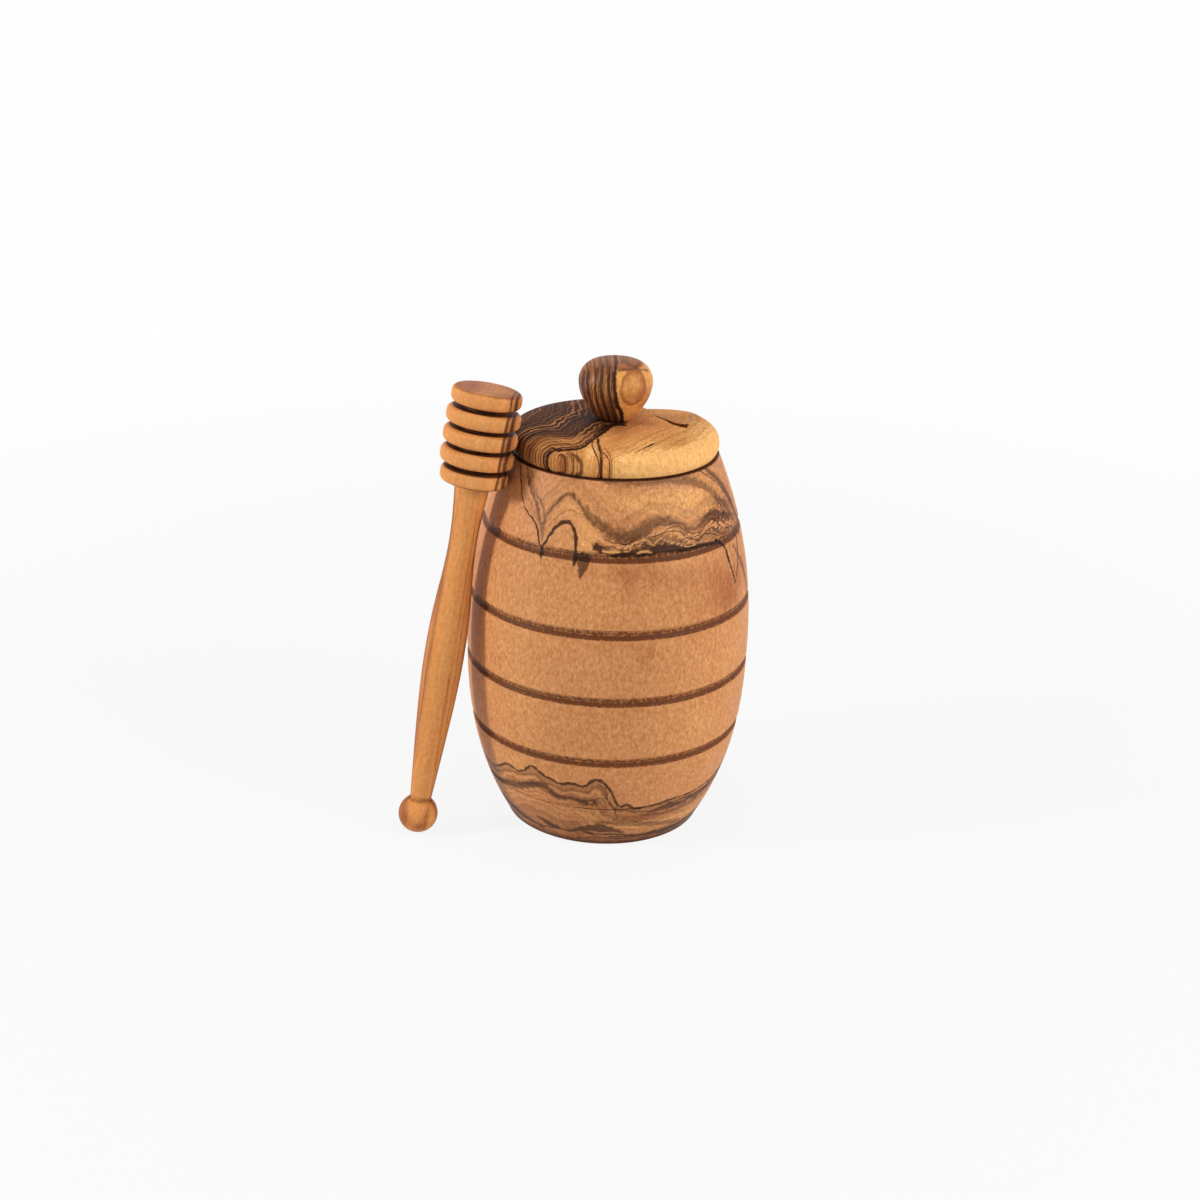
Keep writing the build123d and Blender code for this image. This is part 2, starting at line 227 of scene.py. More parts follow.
# Where growth lines crowd and fold
POT_BUSY = (
    Patch((20, 92.6), (24, 2.6), 0.9),
    Patch((60, 95), (14, 5.5), 0.9),
    Patch((-6, 17.4), (7, 1.8), 0.7),
    Patch((48, 12.4), (16, 1.8), 0.7),
    Patch((-20, 5), (50, 1.5), 0.6),
)
POT_TOP_GROWTH = (
    (-75, 112), (-60, 107), (-46, 100), (-33, 93), (-27, 100), (-21, 103), (-12, 98), (-2, 94),
    (7, 93), (12, 94.8), (20, 97.4), (28, 96.6), (36, 94), (45, 94.6), (54, 95.6), (64, 94),
    (78, 91), (96, 94), (109, 98), (121, 99.4), (132, 96), (143, 91), (158, 95), (170, 101),
    (184, 104), (198, 101), (214, 94), (230, 95), (248, 101), (266, 104), (285, 112))
POT_FOOT_GROWTH = FOOT_EDGE + FOOT_EDGE_BACK[1:]


# Figure of the lid: places are X and Y in millimetres.
LID_LINES = (
    Line((0.8, 0.5, 0.36), 0.2, 1.0, (
        (2.7, -6.3), (1.0, -6.5), (-1.1, -8.3), (-2, -10.9), (-3.4, -14.8), (-5.1, -18.3),
        (-6.5, -20.9), (-7.7, -23), (-8.8, -23.9), (-11.1, -23.9), (-13.5, -23.5),
        (-16.7, -22.9), (-17.4, -23.1), (-17, -25.7))),
    Line((0.2, 0.35, 0.2), 0.3, 0.75, ((-11.1, -25), (-9.6, -26.5), (-8.3, -27.7), (-8, -29.4))),
    Line((0.15, 0.2, 0.15), 0.25, 0.7, ((-12.3, -24.7), (-10.4, -26.8), (-9.4, -29.4))),
    Line((0.2, 0.3, 0.2), 0.25, 0.7, ((-14.6, -24.4), (-12.7, -25.6), (-12.6, -27.2), (-14, -28))),
    Line((0.15, 0.3, 0.2), 0.2, 0.85, (
        (-5.4, -19.1), (-5.6, -23.1), (-4.3, -27.1), (-3.2, -29.4))),
    Line((0.3, 0.4, 0.3), 0.2, 0.95, ((-4.2, -18.3), (-3.8, -23.7), (-3, -28.8), (-3, -29.4))),
    Line((0.15, 0.2, 0.15), 0.2, 0.8, ((-3.5, -23), (-2.4, -26.4), (-1.1, -28.4), (-1, -29.4))),
    Line((0.15, 0.15, 0.1), 0.2, 0.7, ((-2.6, -24), (-1.3, -26), (-0.2, -28.8), (0, -29.4))),
    Line((0.1, 0.16, 0.1), 0.2, 0.3, ((1.2, -27), (5, -22), (10.4, -13), (16, -6.4))),
    Line((0.1, 0.16, 0.1), 0.2, 0.3, ((9.4, -24.8), (16, -17.4), (20.4, -10.6), (22.6, -2))),
    Line((0.1, 0.14, 0.1), 0.2, 0.25, ((13, -22.6), (19.4, -15.6), (23, -9), (25, -1))),
    Line((0.15, 0.3, 0.2), 0.2, 0.55, ((5.6, -25.5), (7.6, -23.4), (9.1, -21.7))),
    Line((0.2, 0.36, 0.12), 0.15, 1.0, ((8.2, -22.8), (9.6, -21.1), (11.2, -19.2))),
)
LID_WARM = (
    Patch((-13.4, -26), (2.6, 2.2), -0.9),
    Patch((-5.9, -25.4), (1.5, 2.2), 1.2),
    # Painted highlight: a golden streak in front of the knob's foot stands for the sheen there
    Patch((-1.3, -5.2), (4, 1.2), 1.0),
    Patch((2, -11), (3.4, 5), -0.6),
    Patch((8.5, -5), (6, 2.6), -0.5),
    Patch((1.4, -18), (2.4, 6), -0.45),
    Patch((11, -22), (9, 4), 0.7),
    Patch((24, -8), (5, 16), 0.7),
    Patch((-16, 14), (10, 10), -0.9),
    Patch((-22, -12), (5, 7), 0.5),
)
# Line between the lid's dark half, which lies to its left in the view, and its pale one
LID_BOUNDARY = (
    (2, 32), (4, 10), (4, 0), (2.7, -6.3), (1.0, -6.5), (-1.1, -8.3), (-2, -10.9), (-3.4, -14.8),
    (-5.1, -18.3), (-6.5, -20.9), (-7.7, -23), (-8.8, -23.9), (-11.1, -23.9), (-13.5, -23.5),
    (-16.7, -22.9), (-17.4, -23.4), (-17, -25.7), (-16.6, -31))
# Growth line of the pale half, which the others run beside
LID_PALE_GROWTH = (
    (-3, -36), (0.7, -28.6), (6.5, -24.9), (12.4, -16), (18.5, -7.2), (22, 3), (23, 32))
LID_KNOT = (-13.4, -26.4)

# Figure of the knob: places are X and Z in millimetres.
KNOB_LINES = (
    Line((0.5, 0.7, 0.4), 0.3, 1.0, (
        (-0.2, 133.9), (-0.7, 132.6), (-0.9, 131.1), (-0.8, 128.6), (-0.4, 126.1), (0.2, 123.4),
        (1.2, 121.2), (1.7, 118.9), (1.8, 110))),
    Line((0.25, 0.35, 0.3), 0.25, 0.85, (
        (-1.9, 133.4), (-2.5, 129.1), (-1.9, 126), (-1, 122.6), (0, 118.9), (0.2, 110))),
    Line((0.3, 0.45, 0.3), 0.3, 0.85, (
        (-3.8, 133), (-4.4, 127.3), (-3.5, 124.1), (-1.8, 118.7), (-1.4, 110))),
    Line((0.3, 0.4, 0.3), 0.3, 0.8, (
        (-5.1, 132.6), (-5.9, 128.5), (-4.6, 122.1), (-3.6, 119.1), (-3.2, 110))),
    Line((0.3, 0.5, 0.3), 0.3, 0.85, ((-7.5, 131.4), (-7.9, 128.6), (-6.7, 123.2), (-5.5, 120.2))),
    Line((0.3, 0.5, 0.3), 0.3, 0.8, ((-8.6, 131), (-9.2, 128.1), (-8.5, 125), (-7.4, 122))),
    Line((0.2, 0.24, 0.15), 0.2, 0.6, ((-0.1, 132.6), (2.9, 132.7), (5.9, 132.4), (8.6, 131.3))),
    Line((0.15, 0.3, 0.15), 0.2, 0.5, ((1, 134), (3.4, 133.3), (6.2, 133.1), (7, 133.6))),
)
KNOB_EYE = (4.3, 127.9)
KNOB_EYE_SHAPE = 0.74
# Height at which the thick stripe bends, and heights over which the cap's own rings start
KNOB_STRIPE_BEND = 129
KNOB_CAP = (132.2, 132.8)
KNOB_WARM = (
    Patch((-6.4, 129.2), (0.6, 1.6), 0.9),
    Patch((-3, 128), (0.5, 3), 0.8),
    Patch((7.5, 124), (4, 4), -0.5),
    Patch((-9.4, 126), (1.2, 5), -0.8),
)

# Figure of the dipper: places are to the viewer's right of its axis and along it.
DIPPER_LINES = (
    Line((0.15, 0.2, 0.15), 0.2, 0.14, ((3.3, 8), (3.2, 30), (3.3, 60), (2.9, 80), (2.6, 104))),
    Line((0.15, 0.3, 0.15), 0.2, 0.26, ((3.9, 30), (4.3, 50), (4, 66), (3.6, 84))),
    Line((0.12, 0.15, 0.12), 0.15, 0.25, ((-2.8, 20), (-3.6, 50), (-3.1, 72), (-2.4, 104))),
    Line((0.26, 0.34, 0.26), 0.15, 0.8, ((7.0, 103), (7.1, 116), (7.3, 131))),
    Line((0.34, 0.4, 0.34), 0.15, 0.85, ((8.5, 103), (8.4, 116), (8.6, 131))),
)
DIPPER_WARM = (
    # Painted light: golden towards the handle's right edge
    Patch((4.6, 50), (0.8, 22), 0.8),
    Patch((2.9, 50), (0.35, 60), -0.6),
    Patch((1.2, 66), (0.3, 26), -0.5),
    # Painted highlight: a golden stripe down the middle of the handle
    Patch((0.4, 60), (1.6, 60), 0.5),
    # Painted shade: the handle's left edge is russet
    Patch((-3.6, 62), (1.0, 60), -0.7),
    Patch((0, 117), (6, 16), 0.5),
    Patch((0, 5), (3, 4), -0.3),
    Patch((8.4, 117), (1.6, 18), -1.1),
    Patch((-3.4, 5.5), (1.5, 4), -0.7),
    Patch((1.6, 3.6), (1.8, 1.5), -0.7),
    Patch((3, 7), (1.4, 2.4), -0.4),
)


def curve_through(points, samples, start=None, end=None):
    """Smooth curve through the points. Between two of them each coordinate is a cubic in the
    distance along the chords, and slope and curvature run on through every point. start and
    end are the curve's directions at its ends; without one the curvature there is nothing."""
    points = np.asarray(points, float)
    chords = np.linalg.norm(np.diff(points, axis=0), axis=1)
    knots = np.concatenate([[0], np.cumsum(chords)])
    count = len(points)
    left = np.zeros((count, count))
    right = np.zeros((count, 2))
    rises = np.diff(points, axis=0) / chords[:, None]
    for row, direction, neighbour, rise in ((0, start, 1, rises[0]), (-1, end, -2, rises[-1])):
        if direction is None:
            left[row, row] = 2
            left[row, neighbour] = 1
            right[row] = 3 * rise
        else:
            left[row, row] = 1
            right[row] = np.asarray(direction, float) / np.linalg.norm(direction)
    inner = np.arange(1, count - 1)
    left[inner, inner - 1] = 1 / chords[:-1]
    left[inner, inner] = 2 / chords[:-1] + 2 / chords[1:]
    left[inner, inner + 1] = 1 / chords[1:]
    right[inner] = 3 * (rises[:-1] / chords[:-1, None] + rises[1:] / chords[1:, None])
    slopes = np.linalg.solve(left, right)
    places = np.linspace(0, knots[-1], samples)
    span = np.clip(np.searchsorted(knots, places, side="right") - 1, 0, count - 2)
    width = chords[span][:, None]
    share = (places[:, None] - knots[span][:, None]) / width
    return (
        (1 + 2 * share) * (1 - share) ** 2 * points[span]
        + share * (1 - share) ** 2 * width * slopes[span]
        + share**2 * (3 - 2 * share) * points[span + 1]
        - share**2 * (1 - share) * width * slopes[span + 1]
    )


def nearest_on_path(places, path):
    """Distance of each place from a path of straight runs, the share of the path's length at
    which it is nearest, and the side that it lies on: 1 on the path's left, -1 on its right."""
    runs = np.diff(path, axis=0)
    lengths = np.linalg.norm(runs, axis=1)
    passed = np.concatenate([[0], np.cumsum(lengths)])
    best = np.full(len(places), np.inf)
    share = np.zeros(len(places))
    side = np.ones(len(places))
    for start, run, length, before in zip(path[:-1], runs, lengths, passed):
        offset = places - start
        along = np.clip(offset @ run / length**2, 0, 1)
        gap = offset - along[:, None] * run
        distance = np.hypot(gap[:, 0], gap[:, 1])
        closer = distance < best
        best = np.where(closer, distance, best)
        share = np.where(closer, (before + along * length) / passed[-1], share)
        turn = run[0] * offset[:, 1] - run[1] * offset[:, 0]
        side = np.where(closer, np.where(turn > 0, 1.0, -1.0), side)
    return best, share, side


def wobbled(places, reach, length):
    """Places moved by up to about reach, each way by the sum of three sines of the other way's
    distance, whose wave lengths are the length and two smaller shares of it."""
    waves = 2 * np.pi / (length * np.array([1.0, 0.57, 0.31]))
    depths = reach * np.array([0.5, 0.3, 0.2])
    across, along = places[:, 0], places[:, 1]
    shift_across = (depths * np.sin(along[:, None] * waves + across[:, None] * waves[::-1])).sum(1)
    shift_along = (depths * np.sin(across[:, None] * waves - along[:, None] * waves[::-1])).sum(1)
    return places + np.stack([shift_across, shift_along], axis=1)


def drawn_lines(places, lines):
    """Two fields of drawn lines: how many softnesses inside its nearest edge a place lies, and
    the ink of the line that it is deepest in."""
    depth = np.full(len(places), -4.0)
    ink = np.zeros(len(places))
    for line in lines:
        path = curve_through(line.path, 6 * len(line.path))
        distance, share, _ = nearest_on_path(places, path)
        half = np.interp(share, (0, 0.5, 1), line.widths)
        inside = (half - distance) / line.softness
        ink = np.where(inside > depth, line.ink, ink)
        depth = np.maximum(depth, inside)
    return depth, ink


def toned(places, patches):
    """Sum of the patches, each a bell curve of the distance from its middle in its reaches."""
    tone = np.zeros(len(places))
    for patch in patches:
        away = (places - np.array(patch.middle)) / np.array(patch.reach)
        tone += patch.amount * np.exp(-(away**2).sum(axis=1))
    return tone


def ease(value, low, high):
    """Smooth step from 0 at low to 1 at high: three squares of the share less two cubes."""
    share = np.clip((value - low) / (high - low), 0, 1)
    return share * share * (3 - 2 * share)


def bell(value, middle, reach):
    """Bell curve: 1 at the middle, and e to the minus square of the distance from it in reaches."""
    return np.exp(-(((value - middle) / reach) ** 2))


def mixed(first, second, share):
    """Value that goes from the first to the second by the share."""
    return first + (second - first) * share


def angles_round(count, crowding):
    """Angles round the axis from the front, in radians: an even turn less crowding times its
    sine, so that they lie closer together at the front."""
    even = np.linspace(-np.pi, np.pi, count, endpoint=False)
    return even - crowding * np.sin(even)


def turned_surface(outline, angles):
    """Closed surface of revolution about Z. X is the radius times the sine of the angle, Y is
    minus the radius times its cosine and Z is the height. The outline starts and ends on the
    axis, where one vertex closes the surface. Gives its vertices and faces."""
    radii, heights = outline[1:-1].T
    columns = len(angles)
    rings = np.stack([
        np.outer(radii, np.sin(angles)),
        -np.outer(radii, np.cos(angles)),
        np.outer(heights, np.ones(columns)),
    ], axis=-1).reshape(-1, 3)
    poles = np.array([[0, 0, outline[0, 1]], [0, 0, outline[-1, 1]]])
    vertices = np.concatenate([poles[:1], rings, poles[1:]])
    here = 1 + np.arange(columns)
    beside = 1 + (np.arange(columns) + 1) % columns
    starts = columns * np.arange(len(radii) - 1)[:, None]
    quads = np.stack([
        starts + here, starts + beside, starts + columns + beside, starts + columns + here,
    ], axis=-1).reshape(-1, 4)
    first = np.stack([np.zeros(columns, int), beside, here], axis=-1)
    last = starts[-1] + columns + np.stack([here, beside], axis=-1)
    last = np.column_stack([last, np.full(columns, len(vertices) - 1)])
    return vertices, quads.tolist() + first.tolist() + last.tolist()


def arc(centre, radius, start, end, count=7):
    """Points of an arc about a centre, given as radius and height, from one angle to another: its
    radius times the angle's sine outwards, and times the cosine downwards."""
    turn = np.linspace(start, end, count)
    return np.array(centre) + radius * np.stack([np.sin(turn), -np.cos(turn)], 1)


def level(start, end, height, count=8):
    """Evenly spaced points of an outline at one height, from one radius to another."""
    return np.stack([np.linspace(start, end, count), np.full(count, height)], 1)


def new_object(name, vertices, faces):
    """Object at the origin whose mesh has these vertices and faces."""
    mesh = bpy.data.meshes.new(name)
    mesh.from_pydata(vertices.tolist(), [], faces)
    mesh.validate()
    made = bpy.data.objects.new(name, mesh)
    bpy.context.scene.collection.objects.link(made)
    return made


def finish_piece(piece, node, body, fields, material):
    """Gives a piece smooth shading, its fields and material, and its place in the frame."""
    mesh = piece.data
    mesh.polygons.foreach_set("use_smooth", np.ones(len(mesh.polygons), bool))
    mesh.set_sharp_from_angle(angle=SHARP_EDGE)
    for name, values in fields.items():
        layer = mesh.attributes.new(name, "FLOAT", "POINT")
        layer.data.foreach_set("value", np.asarray(values, np.float32))
    mesh.materials.append(material)
    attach(piece, body)
    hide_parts(node)


def vertex_places(piece):
    """Vertices of a piece as rows of X, Y and Z, in metres."""
    flat = np.zeros(3 * len(piece.data.vertices))
    piece.data.vertices.foreach_get("co", flat)
    return flat.reshape(-1, 3)


# Sizes that the frame gives
pot_low, pot_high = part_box("pot_body")
lid_low, lid_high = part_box("lid")
knob_low, knob_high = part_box("knob")
dipper_low, dipper_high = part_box("dipper")


def length(name, description, default):
    """Property for a length in metres."""
    return FloatProperty(name=name, description=description, default=default, min=0, unit="LENGTH")


def angle(name, description, degrees):
    """Property for an angle, given here in degrees."""
    return FloatProperty(
        name=name, description=description, default=math.radians(degrees), unit="ROTATION")


def number(name, description, default):
    """Property for a plain number."""
    return FloatProperty(name=name, description=description, default=default, min=0)


def linear(red, green, blue):
    """Colour of the screen's 0 to 255 steps as linear light: near enough the power 2.4 of the
    share, raised by 0.055 and divided by 1.055."""
    shares = (np.array([red, green, blue]) / 255 + 0.055) / 1.055
    return tuple(float(share) for share in shares**2.4)


def colour(name, description, red, green, blue):
    """Property for a colour, given in the screen's 0 to 255 steps."""
    return FloatVectorProperty(
        name=name, description=description, default=linear(red, green, blue),
        subtype="COLOR", size=3, min=0, max=1)


class PotSizes(bpy.types.PropertyGroup):
    """Sizes of the pot."""
    belly_radius: length("Belly radius", "Widest radius of the pot", pot_high.x)
    belly_height: length("Belly height", "Height of the widest place", 56.0 * MM)
    base_radius: length("Base radius", "Radius of the pot at its foot", 27.5 * MM)
    rim_radius: length("Rim radius", "Radius of the pot at its rim", 29.0 * MM)
    height: length("Height", "Height of the rim", pot_high.z)
    mouth_radius: length("Mouth radius", "Radius of the bore", 23.6 * MM)
    floor: length("Floor", "Thickness of the floor", 11.0 * MM)
    floor_corner: length("Floor corner", "Rounding between the bore and the floor", 9.0 * MM)
    groove_width: length("Groove width", "Height of each turned groove", 2.9 * MM)
    groove_depth: length("Groove depth", "Depth of each turned groove", 0.8 * MM)
    lower_swell: number("Lower swell", "Power of the side's curve below the belly", 2.65)
    upper_swell: number("Upper swell", "Power of the side's curve above the belly", 2.05)


class LidSizes(bpy.types.PropertyGroup):
    """Sizes of the lid."""
    radius: length("Radius", "Widest radius of the lid", lid_high.x)
    top: length("Top", "Height of the dome's middle", lid_high.z)
    widest_height: length("Widest height", "Height at which the lid is widest", 111.0 * MM)
    spigot_radius: length("Spigot radius", "Radius of the spigot at the top", 23.2 * MM)
    spigot_taper: length("Spigot taper", "By how much the spigot narrows", 0.8 * MM)
    flat_depth: length("Flat depth", "How far below the top the slot's flat passes", 2.9 * MM)
    flat_slope: angle("Flat slope", "Slant of the flat behind the slot's tail", 8.7)
    flat_facing: angle("Flat facing", "Direction in which the flat rises", -46)


class KnobSizes(bpy.types.PropertyGroup):
    """Sizes of the knob."""
    radius: length("Radius", "Widest radius of the knob", knob_high.x)
    top: length("Top", "Height of the knob's top", knob_high.z)
    foot_radius: length("Foot radius", "Radius of the knob where it meets the lid", 4.5 * MM)
    tenon_radius: length("Tenon radius", "Radius of the tenon in the lid", 3.5 * MM)


class DipperSizes(bpy.types.PropertyGroup):
    """Sizes of the dipper and where it stands."""
    length: length("Length", "Whole length of the dipper", 130.0 * MM)
    ball_radius: length("Ball radius", "Radius of the ball at the handle's end", 5.55 * MM)
    ring_thickness: length("Ring thickness", "Thickness of each ring of the head", 4.25 * MM)
    ring_gap: length("Ring gap", "Gap between two rings", 1.2 * MM)
    ring_round: length("Ring rounding", "Rounding of each ring's edges", 1.5 * MM)
    core_radius: length("Core radius", "Radius between two rings", 6.2 * MM)
    stand: length("Stand", "Distance of the ball from the pot's axis", 56.9 * MM)
    bearing: angle("Bearing", "Direction of the dipper from the pot's axis", 203.6)
    lean: angle("Lean", "Angle by which the dipper leans on the pot", 9.31)


class WoodColours(bpy.types.PropertyGroup):
    """Colours of the olive wood."""
    plain: colour("Plain", "Even wood of the pot", 212, 145, 92)
    golden: colour("Golden", "Golden patches", 231, 165, 101)
    russet: colour("Russet", "Reddish brown wood", 168, 98, 56)
    brown: colour("Brown", "Clouds and bands of the heartwood", 122, 74, 46)
    # Dark is also the near black of the deepest painted shade in seams and gaps
    dark: colour("Dark", "Dark growth lines", 56, 30, 19)
    lid: colour("Lid", "Pale wood of the lid", 220, 150, 84)
    lid_golden: colour("Lid's golden", "Palest wood of the lid", 251, 190, 118)
    knob: colour("Knob", "Pale wood of the knob", 228, 160, 84)
    dipper: colour("Dipper", "Even wood of the dipper", 230, 154, 86)
    # Burnt is also the tint of the painted shade in seams, gaps and recesses
    burnt: colour("Burnt", "Tint that its friction gives a turned cut", 130, 110, 100)


class StageSettings(bpy.types.PropertyGroup):
    """Camera, lamps and floor."""
    elevation: angle("Elevation", "Height of the view above the horizon", 22.03)
    roll: angle("Roll", "Turn of the camera about its own line of sight", 1.8)
    distance: length("Distance", "Distance of the camera from the pot's middle", 0.55)
    lens: number("Lens", "Focal length in millimetres on a 36 mm sensor", 57.9)
    floor: colour("Floor", "Pale floor", 212, 212, 212)
    left: number("Left light", "Power of the lamp on the left", 6.3)
    right: number("Right light", "Power of the large lamp on the right", 7.0)
    top: number("Top light", "Power of the lamp above", 1.8)
    surround: number("Surround", "Strength of the light from all round", 0.36)


class HoneyPotSettings(bpy.types.PropertyGroup):
    """All that can be changed about the honey pot."""
    pot: PointerProperty(type=PotSizes)
    lid: PointerProperty(type=LidSizes)
    knob: PointerProperty(type=KnobSizes)
    dipper: PointerProperty(type=DipperSizes)
    colours: PointerProperty(type=WoodColours)
    stage: PointerProperty(type=StageSettings)


# Pot
GROOVE_HEIGHTS = (29.3 * MM, 48.1 * MM, 67.35 * MM, 87.85 * MM)
# Where the outline has points in a groove, as shares of the groove's height
GROOVE_SHARES = np.array([
    -0.04, 0.0, 0.05, 0.13, 0.24, 0.34, 0.42, 0.5, 0.58, 0.68, 0.8, 0.89, 0.93, 0.97, 1.0, 1.05,
    1.12])
# How far apart the outline's points are in the bands below, between and above the grooves
BAND_SPACING = (0.6 * MM, 3.2 * MM, 3.2 * MM, 1.4 * MM, 0.45 * MM)
SCRIBED_HEIGHT = 14.3 * MM
SCRIBED_WIDTH = 0.5 * MM
SCRIBED_DEPTH = 0.25 * MM
FOOT_ROUND = 0.9 * MM
RIM_ROUND = 0.6 * MM
MOUTH_CHAMFER = 0.6 * MM
BORE_POINTS = 12


def pot_radius(pot, heights):
    """Radius of the pot's side: below the belly it falls short of the belly's radius by a power
    of the distance from the belly, and above it by another."""
    below = np.clip((pot.belly_height - heights) / pot.belly_height, 0, 1)
    above = np.clip((heights - pot.belly_height) / (pot.height - pot.belly_height), 0, 1)
    return (
        pot.belly_radius
        - (pot.belly_radius - pot.base_radius) * below**pot.lower_swell
        - (pot.belly_radius - pot.rim_radius) * above**pot.upper_swell
    )


def groove_depth_share(share):
    """Depth of a groove across its height as a share of the deepest: a sine of a skewed share,
    deepest nearer its lower edge, with a fine crease at its upper edge."""
    skewed = np.clip(share, 0, 1) ** 0.74
    crease = 0.16 * bell(share, 0.93, 0.035)
    return np.clip(np.sin(np.pi * skewed), 0, 1) ** 0.75 + crease


def groove_burn(share):
    """Darkness of a groove across its height: darkest in its lower part, with a lighter line above
    that, and half as dark towards its upper edge, over which it fades out."""
    lower = 0.95 * ease(share, -0.04, 0.1) * (1 - ease(share, 0.34, 0.46))
    middle = 0.5 * ease(share, 0.34, 0.46) * (1 - ease(share, 0.5, 0.56))
    upper = 0.72 * ease(share, 0.5, 0.56) * (1 - 0.5 * ease(share, 0.62, 0.74))
    return (lower + middle + upper * (1 - ease(share, 0.86, 1.02))) * (1 - ease(share, 1.0, 1.12))


def side_heights(pot):
    """Heights of the outline's points up the pot's side, and how burnt each of them is. They lie
    closer together in the grooves, and where the wood's figure is fine."""
    heights = []
    burn = []
    reached = FOOT_ROUND
    ends = GROOVE_HEIGHTS + (pot.height - RIM_ROUND,)
    for end, gap in zip(ends, BAND_SPACING):
        band = np.linspace(reached, end, max(3, int((end - reached) / gap)))
        band = band[reached > FOOT_ROUND:None if end == ends[-1] else -1]
        heights.append(band)
        burn.append(np.zeros(len(band)))
        if end != ends[-1]:
            heights.append(end + GROOVE_SHARES * pot.groove_width)
            burn.append(groove_burn(GROOVE_SHARES))
            reached = heights[-1][-1]
    scribed = np.linspace(0, 1, 7)
    heights.append(SCRIBED_HEIGHT + scribed * SCRIBED_WIDTH)
    burn.append(0.7 * np.sin(np.pi * scribed))
    heights = np.concatenate(heights)
    order = np.argsort(heights)
    return heights[order], np.concatenate(burn)[order]


def cut_depth(pot, heights):
    """How deep the grooves and the scribed line are at some heights."""
    depth = np.zeros(len(heights))
    for low in GROOVE_HEIGHTS:
        share = (heights - low) / pot.groove_width
        depth += pot.groove_depth * groove_depth_share(share) * (share > 0) * (share < 1)
    share = (heights - SCRIBED_HEIGHT) / SCRIBED_WIDTH
    return depth + SCRIBED_DEPTH * np.sin(np.pi * np.clip(share, 0, 1))


def pot_rows(pot):
    """Outline of the pot from the middle of its base up its side, over the rim and down the
    bore to the middle of the floor, and how burnt each of its points is."""
    heights, burn = side_heights(pot)
    radii = pot_radius(pot, heights) - cut_depth(pot, heights)
    foot = arc((radii[0] - FOOT_ROUND, FOOT_ROUND), FOOT_ROUND, 0, QUARTER_TURN)
    base = level(0, foot[0, 0], 0)
    rim = (radii[-1] - RIM_ROUND, pot.height - RIM_ROUND)
    rim = arc(rim, RIM_ROUND, QUARTER_TURN, HALF_TURN)
    mouth = pot.mouth_radius
    lip = [(mouth + 3 * MM, pot.height), (mouth + 1.2 * MM, pot.height)]
    lip += [(mouth + MOUTH_CHAMFER, pot.height), (mouth, pot.height - MOUTH_CHAMFER)]
    bore = np.linspace(
        pot.height - 2 * MOUTH_CHAMFER, pot.floor + pot.floor_corner, BORE_POINTS)
    bore = np.stack([np.full(BORE_POINTS, mouth), bore], 1)
    corner = (mouth - pot.floor_corner, pot.floor + pot.floor_corner)
    corner = arc(corner, pot.floor_corner, QUARTER_TURN, 0)
    floor = level(corner[-1, 0], 0, pot.floor)
    side = np.stack([radii, heights], 1)
    outline = np.concatenate([
        base[:-1], foot[:-1], side, rim[1:], lip, bore, corner[1:], floor[1:]])
    before = len(base) + len(foot) - 2
    row_burn = np.zeros(len(outline))
    row_burn[before:before + len(heights)] = burn
    return outline, row_burn


# Lid
SPIGOT_DEPTH = 5 * MM
SPIGOT_ROUND = 0.8 * MM
LID_UNDERCUT = 0.6 * MM
LID_EDGE_ROUND = 0.5 * MM
LIP_POINTS = 14
DOME_POINTS = 90
# The slot: places on the near and far sides of its tail, from the tip to the notch, and the
# notch's inner left corner, all in millimetres
SLOT_SIDES = (
    ((19.6, -5.4), (20.6, -1.6)), ((16.7, -4.2), (17.9, 0.4)), ((13.6, 0.2), (16.0, 4.2)),
    ((10.6, 4.8), (14.0, 9.4)), ((8.3, 11.5), (12.2, 14.0)), ((4.5, 13.9), (8.8, 21.0)))
NOTCH_CORNER = (-2.0, 14.2)
SLOT_POINTS = 60
# The slot is cut from a level above the lid down to one inside the pot
SLOT_BOTTOM = 0.09
SLOT_TOP = lid_high.z + 20 * MM
# Steps outwards over the slot's flat, and the power by which they lie closer beside the slot
FLAT_STEPS = 110
FLAT_CROWDING = 1.3


def dome_height(lid, radii):
    """Height of the lid's dome: of its rise the share is 1 less the fourth power of the radius's
    share, to the power of a third."""
    hollow = np.clip(radii / lid.radius, 0, 1) ** 4
    return lid.widest_height + (lid.top - lid.widest_height) * (1 - hollow) ** (1 / 3)


def lid_rows(lid):
    """Outline of the lid from the middle of its spigot's end, up its side and over the dome."""
    rim = pot_high.z
    spigot_end = rim - SPIGOT_DEPTH
    tip = lid.spigot_radius - lid.spigot_taper
    edge = lid.radius - LID_UNDERCUT
    under = level(0, tip - SPIGOT_ROUND, spigot_end)
    side = [(tip, spigot_end + SPIGOT_ROUND), (lid.spigot_radius, rim)]
    side += [(lid.spigot_radius + 2 * MM, rim)]
    lip = [(edge - LID_EDGE_ROUND, rim), (edge, rim + LID_EDGE_ROUND)]
    lip += [(lid.radius, lid.widest_height)]
    lip = curve_through(lip, LIP_POINTS, start=(1, 0), end=(0, 1))
    radii = lid.radius * np.sin(np.linspace(QUARTER_TURN, 0, DOME_POINTS))
    dome = np.stack([radii, dome_height(lid, radii)], 1)
    return np.concatenate([under, side, lip, dome[1:]])


